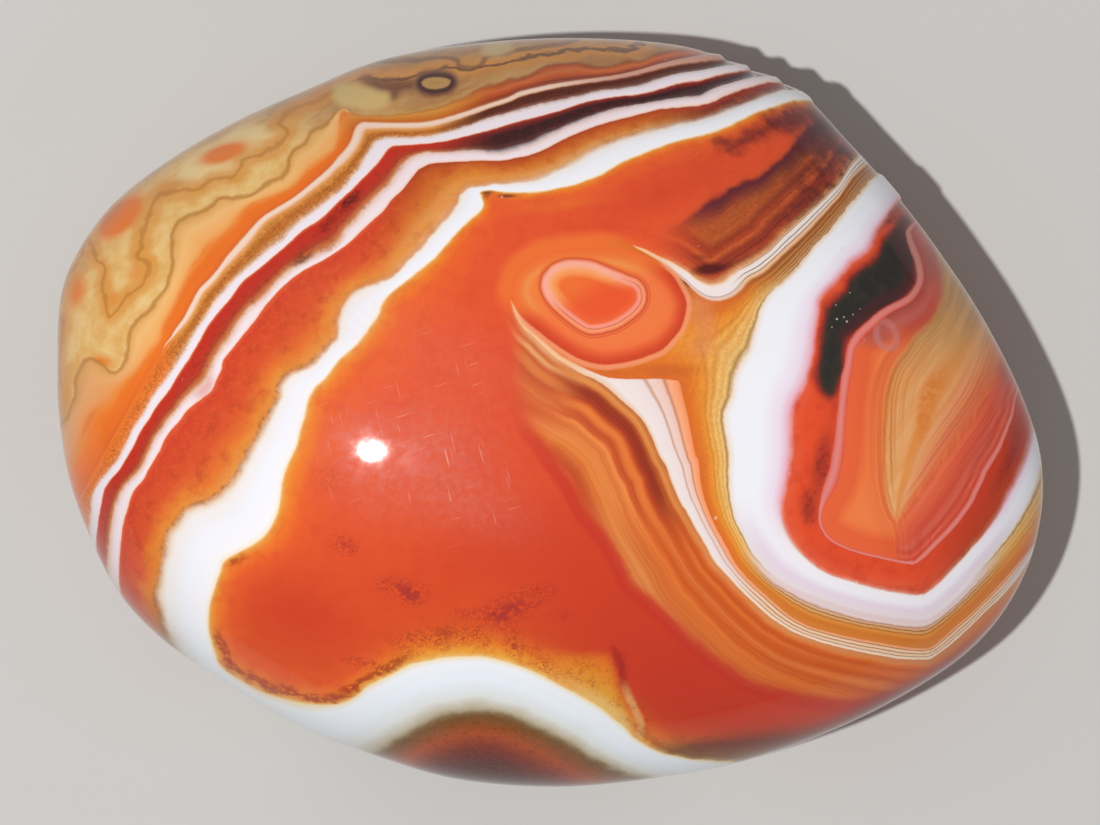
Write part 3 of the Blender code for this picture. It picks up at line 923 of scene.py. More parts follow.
across_layer, start, end = new_group("Across Layer", {"Outer": 0.0, "Inner": 0.0}, ["Place"])
width = maths(across_layer, "SUBTRACT", start.outputs["Outer"], start.outputs["Inner"])
width = maths(across_layer, "MAXIMUM", width, 0.01)
across = maths(across_layer, "DIVIDE", start.outputs["Outer"], width, clamp=True)
across_layer.links.new(across, end.inputs["Place"])

thread, start, end = new_group("Thread", {"Distance": 0.0, "Width": 3.0}, ["Mask"])
apart = maths(thread, "ABSOLUTE", start.outputs["Distance"])
apart = maths(thread, "DIVIDE", apart, start.outputs["Width"])
thread.links.new(smooth(thread, apart, 0.15, 0.6, 1.0, 0.0), end.inputs["Mask"])

# %% [markdown]
# No edge in a stone is as smooth as a drawn line. Stone Noise gives a fine and a slow wander that
# is added to the distances, and two mottled patterns for the cloudy fillings. Streaks gives noise
# that is pulled out along a drawn line, for threads that run beside it: it is noise whose first
# coordinate is the distance to the line, while the others change slowly.

# %% Node groups for noise
stone_noise, start, end = new_group(
    "Stone Noise", {"Fine Size": 0.45, "Slow Size": 1.6}, ["Fine", "Slow", "Mottle", "Moss"]
)
where = add(stone_noise, "ShaderNodeTexCoord").outputs["Object"]
in_mm = add(
    stone_noise, "ShaderNodeVectorMath", {0: where, "Scale": 1000.0}, operation="SCALE"
).outputs[0]


def noise(tree, place, size, detail, roughness):
    """Noise about 0.5, with features of about the given size in the units of place."""
    scale = maths(tree, "DIVIDE", 1.0, size)
    inputs = {"Vector": place, "Scale": scale, "Detail": detail, "Roughness": roughness}
    return add(tree, "ShaderNodeTexNoise", inputs).outputs[0]


def about_zero(tree, value):
    """Noise about 0.5 spread to roughly -1 to 1."""
    return smooth(tree, value, 0.2, 0.8, -1.4, 1.4)


fine = about_zero(stone_noise, noise(stone_noise, in_mm, start.outputs["Fine Size"], 2.0, 0.5))
slow = about_zero(stone_noise, noise(stone_noise, in_mm, start.outputs["Slow Size"], 2.0, 0.5))
stone_noise.links.new(fine, end.inputs["Fine"])
stone_noise.links.new(slow, end.inputs["Slow"])
stone_noise.links.new(noise(stone_noise, in_mm, 1.1, 4.0, 0.62), end.inputs["Mottle"])
stone_noise.links.new(noise(stone_noise, in_mm, 0.4, 3.0, 0.7), end.inputs["Moss"])

streaks, start, end = new_group(
    "Streaks", {"Distance": 0.0, "Spacing": 6.0, "Length": 160.0, "X": 0.0, "Y": 0.0}, ["Streak"]
)
beside = maths(streaks, "DIVIDE", start.outputs["Distance"], start.outputs["Spacing"])
along_x = maths(streaks, "DIVIDE", start.outputs["X"], start.outputs["Length"])
along_y = maths(streaks, "DIVIDE", start.outputs["Y"], start.outputs["Length"])
stretched = add(streaks, "ShaderNodeCombineXYZ", {0: beside, 1: along_x, 2: along_y}).outputs[0]
streak = noise(streaks, stretched, 1.0, 2.0, 0.55)
streaks.links.new(smooth(streaks, streak, 0.3, 0.7), end.inputs["Streak"])
print("groups:", [group.name for group in bpy.data.node_groups])

# %% [markdown]
# The material is painted as the stone grew, layer over layer. It starts with cream all over, and
# each step covers what lies behind the next line. So a step needs only its own edge and colours.
# The red heart and the fourth white band hide all that came before them, so each starts a new
# coat of paint, and there are three coats in the end. Nodes are worked out in the order in which
# they were made, so each step makes its nodes just before it uses them.

# %% Start the agate material
agate = bpy.data.materials.new("polished_lace_agate")
agate.use_nodes = True
tree = agate.node_tree
tree.nodes.clear()


def grouped(kind, **inputs):
    """A group node of this kind, its inputs set by name as values or as other nodes' sockets."""
    node = tree.nodes.new("ShaderNodeGroup")
    node.node_tree = kind
    for name, value in inputs.items():
        if isinstance(value, bpy.types.NodeSocket):
            tree.links.new(value, node.inputs[name.title()])
        else:
            node.inputs[name.title()].default_value = value
    return node


number = partial(maths, tree)
ease = partial(smooth, tree)
blend = partial(mix, tree)
shade = partial(ramp, tree)
wanders = grouped(stone_noise)
mottle = wanders.outputs["Mottle"]
moss = wanders.outputs["Moss"]
middle = number("ABSOLUTE", number("SUBTRACT", moss, 0.5))
squiggle = ease(middle, 0.045, 0.01)  # thin crooked lines where the moss is neither high nor low
fields = {}


def field(name):
    """The numbers that the mesh holds by this name, read by one node for all that use them."""
    if name not in fields:
        fields[name] = add(tree, "ShaderNodeAttribute", attribute_name=name).outputs["Fac"]
    return fields[name]


def edge(name, shift=0.0, fine=0.0, slow=0.0):
    """The distance to a drawn line, moved by shift and roughened by the stone's noise."""
    distance = field(name)
    if shift:
        distance = number("ADD", distance, shift)
    if fine:
        distance = number("ADD", distance, strength(wanders.outputs["Fine"], fine))
    if slow:
        distance = number("ADD", distance, strength(wanders.outputs["Slow"], slow))
    return distance


def product(*masks):
    """The mask of where all of these masks are."""
    together = masks[0]
    for mask in masks[1:]:
        together = number("MULTIPLY", together, mask)
    return together


def strength(mask, amount):
    return product(mask, amount)


def soft(distance, fog=1.5):
    return grouped(soft_edge, distance=distance, fog=fog).outputs["Mask"]


def line_mask(distance, wide=3.0):
    return grouped(thread, distance=distance, width=wide).outputs["Mask"]


def streak_by(distance, spacing, length=160.0):
    """Noise that runs beside a drawn line; spacing and length are in pixels."""
    place = {"x": field("picture_x"), "y": field("picture_y")}
    node = grouped(streaks, distance=distance, spacing=spacing, length=length, **place)
    return node.outputs["Streak"]


def place_across(outer, inner):
    """0 at the outer edge of a layer and 1 at its inner edge."""
    return grouped(across_layer, outer=outer, inner=inner).outputs["Place"]


def turned(name, low, high):
    """Goes from 0 to 1 as a picture coordinate or a field passes from low to high."""
    return ease(edge(name), low, high)


def cover(paint, outer, inner, colours, fog=2.0, turns=()):
    """Paints all that lies past outer with a ramp that ends at inner.

    Each of turns is a mask and the ramp that it brings in.
    """
    place = place_across(outer, inner)
    colour = shade(place, colours)
    for mask, other in turns:
        colour = blend(colour, shade(place, other), mask)
    return blend(paint, colour, soft(outer, fog))


def tint(paint, colour, mask, amount=1.0):
    """Turns the paint towards one screen colour where the mask is."""
    if amount != 1.0:
        mask = strength(mask, amount)
    return blend(paint, screen(*colour), mask)


# %% [markdown]
# The lace is cream with soft clouds, duller towards the rim, with a pale cell and stains of
# orange. Its thin brown lines are threads along the drawn lines. The small ring near the upper
# rim is a ramp over the distance from its oval.

# %% Paint the lace
LACE_CREAM = [(0.0, 226, 176, 102), (0.45, 234, 190, 118), (1.0, 240, 206, 142)]
KNOT_RINGS = [
    (0.0, 160, 108, 66), (0.35, 116, 66, 46), (0.52, 64, 30, 28), (0.68, 88, 48, 36),
    (0.78, 186, 140, 86), (0.9, 192, 146, 84), (1.0, 180, 134, 70),
]
paint = shade(ease(mottle, 0.25, 0.75), LACE_CREAM)
lace_streak = streak_by(edge("lace_line", 0, 0, 3.0), 12.0, 90.0)
paint = tint(paint, (224, 156, 76), lace_streak, 0.3)
upper_lace = turned("picture_y", 150, 85)
paint = tint(paint, (182, 126, 74), upper_lace, 0.7)
paint = tint(paint, (160, 104, 60), product(upper_lace, lace_streak), 0.75)
paint = tint(paint, (240, 210, 150), ease(edge("lace_cell", 0, 0.8, 2.0), -2, 8), 0.75)
paint = tint(paint, (236, 118, 28), turned("orange_stain", 0.05, 0.55), 0.95)
paint = tint(paint, (172, 112, 66), turned("brown_stain", 0.1, 0.9), 0.75)
lace_thread = edge("lace_thread", 0, 0.3, 2.5)
paint = tint(paint, (222, 146, 56), line_mask(lace_thread, 24.0), 0.7)
thread_mask = line_mask(lace_thread, 5.0)
paint = tint(paint, (186, 118, 44), thread_mask, 0.6)
right_thread = product(thread_mask, turned("picture_x", 330, 400))
paint = tint(paint, (100, 58, 36), right_thread, 0.8)
paint = tint(paint, (120, 76, 46), line_mask(edge("lace_wisp", 0, 0.3, 1.0), 6.0), 0.7)
paint = tint(paint, (104, 56, 38), ease(edge("brown_tongue", 0, 0.5, 1.5), -5, 6), 0.85)
paint = tint(paint, (214, 180, 114), ease(edge("cream_tongue", 0, 0, 1.0), -6, 5))
paint = tint(paint, (208, 174, 118), ease(edge("cream_lens", 0, 0, 1.0), -5, 4))
knot = edge("ring_knot", 0, 0.2, 0.5)
knot_colour = shade(ease(knot, -13.0, 6.0), KNOT_RINGS)
paint = blend(paint, knot_colour, ease(knot, -13.0, -5.0))

# %% [markdown]
# Behind the lace line lies peach, and behind that orange that deepens towards the first cream
# line. Past the elbow of the bands the same layers turn golden and then red-brown, so their
# colours are blended along the picture.

# %% Paint the peach and orange layers
PEACH = [
    (0.0, 204, 148, 80), (0.16, 230, 172, 98), (0.4, 243, 188, 118), (0.8, 244, 174, 100),
    (1.0, 242, 150, 74),
]
PEACH_LOW = [(0.0, 214, 150, 84), (0.4, 234, 166, 104), (0.8, 238, 156, 92), (1.0, 238, 142, 70)]
ORANGE = [(0.0, 240, 146, 66), (0.3, 241, 124, 38), (0.75, 238, 114, 34), (1.0, 214, 104, 50)]
GOLD = [(0.0, 176, 116, 40), (0.2, 222, 150, 62), (0.6, 206, 128, 44), (1.0, 190, 104, 36)]
RED_BROWN = [
    (0.0, 104, 40, 22), (0.15, 160, 70, 26), (0.4, 206, 108, 52), (0.65, 176, 70, 34),
    (0.85, 130, 48, 30), (1.0, 150, 90, 76),
]
lace_edge = edge("lace_line", 0, 0.3, 1.5)
low_peach = turned("picture_y", 330, 400)
paint = cover(paint, lace_edge, edge("peach_end"), PEACH, 3.0, [(low_peach, PEACH_LOW)])
lace_line = product(line_mask(lace_edge, 5.0), turned("picture_x", 352, 330))
paint = tint(paint, (186, 124, 54), lace_line, 0.65)
golden_edge = product(line_mask(number("ADD", lace_edge, 8.0), 12.0), low_peach)
paint = tint(paint, (222, 150, 60), golden_edge, 0.7)

peach_end = edge("peach_end", 0, 0.3, 1.0)
golden = turned("picture_x", 335, 360)
red_brown = turned("picture_x", 440, 500)
paint = cover(
    paint, peach_end, edge("cream_line_out"), ORANGE, 5.0, [(golden, GOLD), (red_brown, RED_BROWN)]
)
orange_streak = streak_by(edge("cream_line_out"), 6.0, 260.0)
past_peach = product(orange_streak, soft(peach_end, 4.0))
paint = tint(paint, (222, 98, 30), past_peach, 0.4)

# %% [markdown]
# Three bright bands follow, with ochre, dark red and moss-like brown between them. The outer
# edge of a band is foggy, because its first crystals grew among the brown ones, and the inner
# edge is sharp. To the right the fillings between them are almost black.

# %% Paint the cream line and the first white band
CREAM = [(0.0, 236, 180, 140), (0.3, 246, 218, 200), (0.7, 246, 208, 184), (1.0, 236, 176, 128)]
OCHRE = [
    (0.0, 232, 162, 96), (0.2, 224, 146, 66), (0.45, 196, 112, 40), (0.7, 206, 126, 58),
    (0.9, 232, 180, 135), (1.0, 240, 215, 200),
]
ORANGE_LOW = [(0.0, 236, 118, 38), (0.6, 234, 122, 46), (0.88, 236, 142, 84), (1.0, 240, 196, 170)]
DARK_BROWN = [
    (0.0, 120, 52, 34), (0.25, 84, 36, 26), (0.6, 96, 42, 30), (0.82, 140, 90, 74),
    (1.0, 215, 200, 205),
]
WHITE = [
    (0.0, 240, 212, 200), (0.2, 242, 228, 232), (0.6, 242, 230, 240), (0.9, 246, 228, 228),
    (1.0, 250, 206, 180),
]
paint = cover(paint, edge("cream_line_out", 0, 0.15), edge("cream_line_in"), CREAM, 2.2)
dim_line = product(soft(edge("cream_line_out"), 2.0), turned("picture_x", 540, 620))
paint = tint(paint, (206, 140, 122), dim_line, 0.75)
before_line = turned("picture_x", 185, 160)
paint = cover(
    paint, edge("cream_line_in", 0, 0.2), edge("first_white_out", 0, 0.3, 0.5), OCHRE, 2.0,
    [(before_line, ORANGE_LOW), (turned("picture_x", 420, 490), DARK_BROWN)],
)
ochre_moss = product(
    ease(moss, 0.46, 0.66),
    soft(edge("cream_line_in", -2), 4),
    turned("picture_x", 165, 200),
    turned("picture_x", 440, 400),
)
paint = tint(paint, (176, 92, 30), ochre_moss, 0.45)
ochre_fibre = product(squiggle, soft(edge("cream_line_in", -3), 4))
paint = tint(paint, (120, 58, 26), ochre_fibre, 0.5)
paint = cover(paint, edge("first_white_out", 0, 0.3, 0.5), edge("first_white_in"), WHITE, 4.5)

# %% Paint the filling and the second white band
DEEP_RED = [
    (0.0, 220, 96, 60), (0.1, 196, 48, 30), (0.4, 192, 50, 32), (0.62, 176, 64, 38),
    (0.82, 204, 122, 72), (1.0, 240, 212, 196),
]
NEAR_BLACK = [
    (0.0, 190, 70, 50), (0.1, 126, 38, 34), (0.3, 60, 26, 28), (0.6, 62, 28, 30), (0.8, 92, 56, 52),
    (1.0, 222, 208, 212),
]
PINK_WHITE = [
    (0.0, 234, 196, 186), (0.25, 242, 220, 220), (0.7, 244, 228, 234), (1.0, 250, 210, 190),
]
paint = cover(
    paint, edge("first_white_in", 0, 0.2), edge("second_white_out", 0, 0.3, 0.8), DEEP_RED, 1.6,
    [(turned("picture_x", 420, 500), NEAR_BLACK)],
)
red_moss = product(ease(moss, 0.5, 0.7), soft(edge("first_white_in", -3), 4))
paint = tint(paint, (136, 36, 26), red_moss, 0.4)
red_spot = product(
    turned("dark_spot", 0.1, 0.9),
    ease(moss, 0.3, 0.55),
    soft(edge("first_white_in", -3), 4),
)
paint = tint(paint, (84, 22, 20), red_spot, 0.85)
second_out = edge("second_white_out", 0, 0.35, 0.8)
paint = cover(paint, second_out, edge("second_white_in"), PINK_WHITE, 5.0)
pink_spot = product(soft(edge("second_white_out"), 5.0), turned("pink_blush", 0.1, 1.0))
paint = tint(paint, (226, 156, 150), pink_spot, 0.75)

# %% Paint the mossy filling and the great white band
MOSSY_RED = [
    (0.0, 224, 92, 54), (0.08, 210, 66, 38), (0.5, 216, 82, 40), (0.78, 228, 116, 46),
    (0.92, 222, 146, 80), (1.0, 244, 222, 205),
]
AMBER_TAN = [
    (0.0, 176, 66, 28), (0.25, 200, 92, 32), (0.55, 214, 124, 50), (0.85, 228, 168, 104),
    (1.0, 245, 228, 212),
]
DARK_END = [(0.0, 170, 62, 44), (0.4, 120, 44, 34), (0.7, 140, 72, 50), (1.0, 225, 215, 220)]
UNDER_ARCH = [
    (0.0, 116, 82, 42), (0.08, 146, 78, 34), (0.2, 172, 74, 32), (0.45, 128, 44, 28),
    (0.7, 92, 32, 26), (1.0, 56, 22, 22),
]
great_out = edge("great_white_out", 0, 0.4, 1.2)
paint = cover(
    paint, edge("second_white_in", 0, 0.2), great_out, MOSSY_RED, 1.6,
    [(turned("picture_x", 360, 430), AMBER_TAN), (turned("picture_x", 630, 730), DARK_END)],
)
filling = soft(edge("second_white_in", -3), 4)
cloudy = product(ease(mottle, 0.48, 0.7), filling)
paint = tint(paint, (168, 52, 28), cloudy, 0.4)
mossy = product(ease(moss, 0.48, 0.72), filling)
paint = tint(paint, (234, 122, 50), mossy, 0.22)
amber_rim = ease(edge("great_white_out", 0, 1.0, 5.0), -24, -4)
amber_rim = product(amber_rim, turned("picture_x", 560, 480))
paint = tint(paint, (230, 138, 48), amber_rim, 0.65)
on_limb = turned("picture_y", 250, 420)
brown_edge = ease(edge("great_white_out", 0, 1.5, 1.5), -7, -1)
brown_moss = product(ease(moss, 0.36, 0.64), on_limb)
paint = tint(paint, (128, 72, 30), product(brown_edge, brown_moss), 0.7)
paint = tint(paint, (176, 108, 56), product(brown_edge, filling), 0.3)
under_arch = shade(ease(edge("great_white_out", 0, 0.8), 0, -70), UNDER_ARCH)
under_arch = tint(under_arch, (96, 32, 26), ease(moss, 0.5, 0.7), 0.3)
under_arch = tint(under_arch, (196, 92, 40), squiggle, 0.2)
paint = blend(paint, under_arch, turned("picture_y", 560, 690))

GREAT_WHITE = [
    (0.0, 236, 206, 176), (0.14, 240, 232, 228), (0.5, 240, 240, 248), (0.9, 246, 242, 244),
    (1.0, 250, 228, 196),
]
GREAT_WHITE_LOW = [
    (0.0, 150, 128, 92), (0.12, 198, 186, 162), (0.3, 228, 228, 226), (0.6, 236, 242, 250),
    (0.9, 240, 242, 246), (1.0, 244, 220, 174),
]
low_white = turned("picture_y", 600, 680)
white_fog = ease(edge("picture_y"), 250, 480, 3.0, 9.0)
paint = cover(
    paint, great_out, edge("great_white_in"), GREAT_WHITE, white_fog, [(low_white, GREAT_WHITE_LOW)]
)
outer_paint = paint

# %% [markdown]
# The second coat starts with the heart, which is clear red-orange chalcedony. Where it meets the
# white band it has a narrow golden fringe and a broader orange one. Its red deepens to the lower
# right, and fine dark dendrites grow in it: noise that shows only where a soft mark lets it.

# %% Paint the red heart
HEART = [
    (0.0, 238, 186, 110), (0.05, 232, 150, 62), (0.14, 238, 124, 40), (0.35, 234, 98, 42),
    (1.0, 228, 84, 44),
]
HEART_ARCH = [
    (0.0, 240, 194, 112), (0.08, 236, 160, 56), (0.25, 232, 124, 38), (0.55, 224, 92, 34),
    (1.0, 214, 78, 36),
]
WEDGE = [(0.0, 232, 188, 110), (0.15, 226, 156, 56), (0.5, 226, 132, 36), (1.0, 222, 100, 30)]
FRINGE_TOP, FRINGE_LOW = 22.0, 62.0  # pixels that the orange fringe is wide
ARCH_FRINGE = 58.0
heart_edge = edge("great_white_in", 0, 0.2, 0.5)
fringe = ease(edge("picture_y"), 190, 330, FRINGE_TOP, FRINGE_LOW)
heart = shade(number("DIVIDE", heart_edge, fringe, clamp=True), HEART)
arch_place = number("DIVIDE", heart_edge, ARCH_FRINGE, clamp=True)
above_arch = product(turned("picture_y", 590, 640), turned("picture_x", 350, 420))
paint = blend(heart, shade(arch_place, HEART_ARCH), above_arch)
heart_mask = soft(heart_edge, 2.6)
in_heart = soft(heart_edge, 10.0)
low_heart = product(
    turned("picture_y", 400, 640), in_heart, ease(edge("great_white_in"), 6, 46),
)
paint = tint(paint, (214, 76, 32), low_heart, 0.75)
low_right = product(low_heart, turned("picture_x", 420, 640))
paint = tint(paint, (200, 58, 32), low_right, 0.8)
heart_cloud = product(ease(mottle, 0.44, 0.66), in_heart)
paint = tint(paint, (212, 66, 36), heart_cloud, 0.3)
paint = tint(paint, (196, 50, 30), product(edge("deep_red"), in_heart), 0.7)
amber_mask = product(turned("amber", 0.05, 0.9), heart_mask)
paint = tint(paint, (236, 146, 40), amber_mask, 0.85)
wedge = edge("amber_wedge", 0, 0.5, 0.5)
wedge_colour = shade(ease(edge("great_white_in"), 0, 60), WEDGE)
wedge_mask = product(ease(wedge, -3, 13), turned("picture_x", 530, 610), heart_mask)
paint = blend(paint, wedge_colour, wedge_mask)
wedge_line = product(
    line_mask(number("ADD", wedge, 3.0), 10.0), turned("picture_x", 606, 616), heart_mask,
)
paint = tint(paint, (168, 36, 22), product(wedge_line, turned("picture_y", 712, 680)), 0.7)
paint = tint(paint, (226, 164, 100), product(wedge_line, turned("picture_y", 676, 700)), 0.8)
dendrite = ease(product(moss, edge("dendrites")), 0.34, 0.62)
paint = tint(paint, (146, 34, 42), product(dendrite, in_heart), 0.6)
branches = product(squiggle, turned("dendrites", 0.05, 0.5))
paint = tint(paint, (150, 40, 36), product(branches, in_heart), 0.6)
arch_fibre = product(squiggle, line_mask(edge("great_white_in", -22.0), 44.0), above_arch)
paint = tint(paint, (160, 70, 28), product(arch_fibre, ease(mottle, 0.42, 0.6)), 0.6)
mossy_rim = line_mask(edge("great_white_in", -8.0, 1.0, 3.0), 11.0)
mossy_rim = product(mossy_rim, turned("moss_rim", 0.1, 0.7), ease(moss, 0.3, 0.52))
paint = tint(paint, (156, 40, 24), mossy_rim, 0.75)
notch = product(turned("notch", 0.2, 0.9), soft(edge("great_white_in", 1.0), 3.0))
paint = tint(paint, (96, 44, 24), notch, 0.9)

# %% [markdown]
# Under the ribbon hangs a fan of brown and orange streaks, like wood grain. They keep their
# distance from the ribbon, so they are one ramp over that distance, with noise to make them
# run together. The right end and the lower end of the fan have colours of their own.

# %% Paint the fan of streaks
GRAIN_UPPER = [
    (0.0, 170, 104, 58), (0.02, 206, 130, 66), (0.045, 232, 148, 76), (0.08, 186, 94, 42),
    (0.12, 148, 50, 26), (0.16, 144, 46, 26), (0.2, 178, 64, 30), (0.24, 222, 106, 46),
    (0.275, 238, 132, 60), (0.3, 228, 120, 54), (0.34, 190, 78, 36), (0.375, 208, 92, 42),
    (0.41, 238, 138, 70), (0.48, 224, 124, 58), (0.55, 232, 138, 70), (0.625, 226, 126, 56),
    (0.7, 206, 98, 44), (0.75, 192, 78, 38), (0.82, 206, 96, 48), (1.0, 204, 84, 44),
]
GRAIN_LOWER = [
    (0.0, 222, 150, 92), (0.05, 226, 116, 46), (0.09, 206, 88, 26), (0.13, 226, 112, 44),
    (0.19, 206, 86, 24), (0.25, 228, 122, 56), (0.31, 208, 90, 28), (0.4, 228, 120, 50),
    (0.5, 214, 110, 46), (0.62, 226, 138, 72), (0.76, 218, 130, 66), (0.9, 216, 108, 50),
    (1.0, 206, 82, 38),
]
GRAIN_LEFT = [
    (0.0, 236, 190, 140), (0.04, 206, 110, 54), (0.08, 236, 168, 108), (0.12, 200, 94, 44),
    (0.17, 228, 134, 68), (0.25, 196, 84, 42), (0.34, 220, 116, 58), (0.5, 212, 90, 46),
    (0.7, 220, 104, 52), (1.0, 222, 88, 46),
]
GRAIN_RIGHT = [
    (0.0, 226, 170, 120), (0.03, 200, 120, 70), (0.06, 180, 66, 36), (0.1, 130, 34, 28),
    (0.15, 146, 42, 30), (0.19, 204, 88, 42), (0.23, 168, 58, 30), (0.27, 146, 56, 30),
    (0.33, 182, 80, 36), (0.42, 174, 84, 36), (0.5, 172, 70, 36), (0.6, 154, 54, 34),
    (0.75, 116, 38, 36), (1.0, 86, 32, 40),
]
FAN_WIDTH = 112.0  # pixels from the ribbon to the far end of the ramps
grain_streak = streak_by(edge("ribbon_out"), 6.0, 320.0)
grain_wander = strength(grain_streak, 2.5)
from_ribbon = number("SUBTRACT", grain_wander, edge("ribbon_out", 2.0, 0.0, 0.6))
grain_place = number("DIVIDE", from_ribbon, FAN_WIDTH, clamp=True)
grain = shade(grain_place, GRAIN_UPPER)
left_end = product(turned("picture_x", 590, 545), turned("picture_y", 440, 400))
grain = blend(grain, shade(grain_place, GRAIN_LEFT), left_end)
grain = blend(grain, shade(grain_place, GRAIN_LOWER), turned("picture_y", 485, 560))
hair_streak = streak_by(edge("ribbon_out", 0.0, 0.0, 1.0), 2.6, 200.0)
grain = tint(grain, (182, 66, 30), hair_streak, 0.3)
grain_fog = ease(edge("grain_edge", 0, 0.2, 0.6), -6, 20)
grain_fog = product(grain_fog, turned("picture_y", 272, 350))
paint = blend(paint, grain, grain_fog)
grain_rim = product(
    line_mask(edge("grain_edge", -1.0, 0.3, 0.6), 18.0), in_heart, turned("picture_y", 380, 480),
)
paint = tint(paint, (194, 44, 34), grain_rim, 0.65)

# %% Paint the dark corner
seam = edge("maroon_seam_out", 0, 0.4, 1.5)
past_seam = edge("maroon_seam_in", 0, 0.4, 1.5)
right_grain = shade(grain_place, GRAIN_RIGHT)
right_grain = tint(right_grain, (206, 104, 50), hair_streak, 0.3)
right_grain = tint(right_grain, (110, 34, 28), squiggle, 0.3)
darker = product(turned("picture_x", 740, 850), ease(mottle, 0.3, 0.6))
right_grain = tint(right_grain, (74, 28, 34), darker, 0.85)
right_corner = product(
    ease(seam, -10, 12), turned("picture_x", 640, 720), turned("picture_y", 330, 270),
)
paint = blend(paint, right_grain, right_corner)
seam_core = ease(seam, -3.0, 3.0)
seam_shade = ease(past_seam, 16.0, -4.0)
seam_mask = product(
    seam_core, seam_shade, turned("picture_x", 660, 715), turned("picture_y", 330, 270),
)
paint = tint(paint, (78, 28, 44), seam_mask, 0.88)
cloud = ease(edge("maroon_cloud", 0, 1.5, 4.0), -9, 12)
cloud = product(cloud, ease(mottle, 0.2, 0.44))
paint = tint(paint, (96, 28, 34), product(cloud, in_heart), 0.9)
corner_spot = product(turned("dark_spot", 0.15, 0.9), in_heart)
paint = tint(paint, (70, 16, 20), corner_spot, 0.85)
shadow = product(turned("rim_shadow", 0.05, 1.0), in_heart)
paint = tint(paint, (58, 18, 22), shadow, 0.75)
rim_glow = product(
    ease(edge("eye_rim", 0, 0.5, 1.0), -16, 0), in_heart, turned("picture_y", 330, 280),
)
paint = tint(paint, (236, 106, 46), rim_glow, 0.8)

# %% [markdown]
# The ribbon is four or five hair-thin white and tan lines side by side, and it changes on its
# way: white stripes above, one plain stripe round the loop, and white, peach and brown stripes
# lower down. One ramp is made for each stretch, and they are blended along the picture. Where
# the ribbon starts as a wedge its stripes run down from a flat top, so there they are measured
# from a side of their own.

# %% Paint the ribbon
RIBBON_TOP = [
    (0.0, 206, 124, 80), (0.07, 232, 188, 148), (0.13, 170, 116, 84), (0.19, 238, 222, 212),
    (0.4, 240, 228, 220), (0.46, 120, 84, 70), (0.52, 238, 224, 214), (0.66, 236, 214, 200),
    (0.71, 134, 88, 66), (0.77, 240, 196, 160), (0.92, 232, 176, 130), (1.0, 176, 108, 56),
]
RIBBON_LOOP = [
    (0.0, 226, 150, 96), (0.1, 238, 196, 160), (0.22, 242, 226, 220), (0.7, 240, 226, 226),
    (0.78, 190, 160, 150), (0.84, 236, 206, 190), (1.0, 226, 168, 140),
]
RIBBON_LEFT = [
    (0.0, 232, 130, 70), (0.35, 240, 196, 150), (0.65, 240, 190, 146), (1.0, 236, 136, 80),
]
RIBBON_LOW = [
    (0.0, 236, 196, 160), (0.1, 240, 226, 222), (0.42, 238, 218, 216), (0.47, 206, 156, 130),
    (0.52, 238, 208, 200), (0.68, 240, 196, 180), (0.73, 200, 134, 104), (0.79, 248, 172, 130),
    (0.96, 246, 150, 100), (1.0, 220, 110, 40),
]
RIBBON_BOTTOM = [
    (0.0, 214, 110, 56), (0.06, 244, 214, 184), (0.2, 246, 220, 196), (0.25, 150, 90, 60),
    (0.3, 242, 200, 164), (0.44, 244, 204, 170), (0.5, 140, 84, 56), (0.56, 246, 206, 168),
    (0.7, 246, 196, 156), (0.76, 150, 84, 54), (0.82, 246, 180, 130), (0.94, 240, 150, 96),
    (1.0, 214, 110, 48),
]
ribbon_out = edge("ribbon_out", 0, 0.2)
ribbon_in = edge("ribbon_in", 0, 0.15)
paint = cover(
    paint, ribbon_out, ribbon_in, RIBBON_TOP, 2.0,
    [(turned("picture_x", 750, 728), RIBBON_LOOP), (turned("picture_x", 690, 650), RIBBON_LEFT)],
)
wedge_place = place_across(ribbon_out, edge("wedge_side", 0, 0.15))
low_ribbon = blend(
    shade(wedge_place, RIBBON_LOW), shade(wedge_place, RIBBON_BOTTOM),
    turned("picture_y", 560, 610),
)
low_mask = product(soft(ribbon_out, 2.0), turned("picture_y", 362, 376))
paint = blend(paint, low_ribbon, low_mask)

# %% Paint the threads behind the ribbon
BEHIND_TOP = [
    (0.0, 196, 134, 84), (0.07, 126, 72, 32), (0.2, 164, 98, 42), (0.27, 196, 134, 78),
    (0.33, 130, 76, 34), (0.44, 176, 110, 54), (0.5, 204, 150, 94), (0.56, 122, 74, 34),
    (0.64, 210, 156, 102), (0.7, 128, 82, 42), (0.77, 218, 172, 120), (0.83, 144, 98, 56),
    (0.9, 226, 194, 154), (1.0, 238, 226, 216),
]
BEHIND_MIDDLE = [
    (0.0, 222, 106, 36), (0.2, 230, 122, 36), (0.42, 240, 152, 52), (0.48, 222, 140, 50),
    (0.55, 244, 180, 84), (0.62, 226, 158, 70), (0.7, 246, 196, 112), (0.78, 232, 176, 96),
    (0.85, 244, 204, 130), (0.92, 176, 134, 66), (1.0, 246, 226, 196),
]
BEHIND_BOTTOM = [
    (0.0, 218, 130, 54), (0.25, 214, 120, 38), (0.38, 226, 146, 62), (0.44, 190, 110, 50),
    (0.5, 236, 190, 120), (0.55, 150, 96, 50), (0.6, 232, 196, 160), (0.66, 190, 150, 120),
    (0.72, 232, 214, 214), (1.0, 240, 232, 240),
]
not_top = number("MAXIMUM", turned("picture_y", 262, 310), turned("picture_x", 700, 660))
paint = cover(
    paint, ribbon_in, edge("fourth_white_out", 0, 0.5), BEHIND_TOP, 1.6,
    [(not_top, BEHIND_MIDDLE), (turned("picture_y", 540, 590), BEHIND_BOTTOM)],
)
behind = soft(ribbon_in, 2.0)
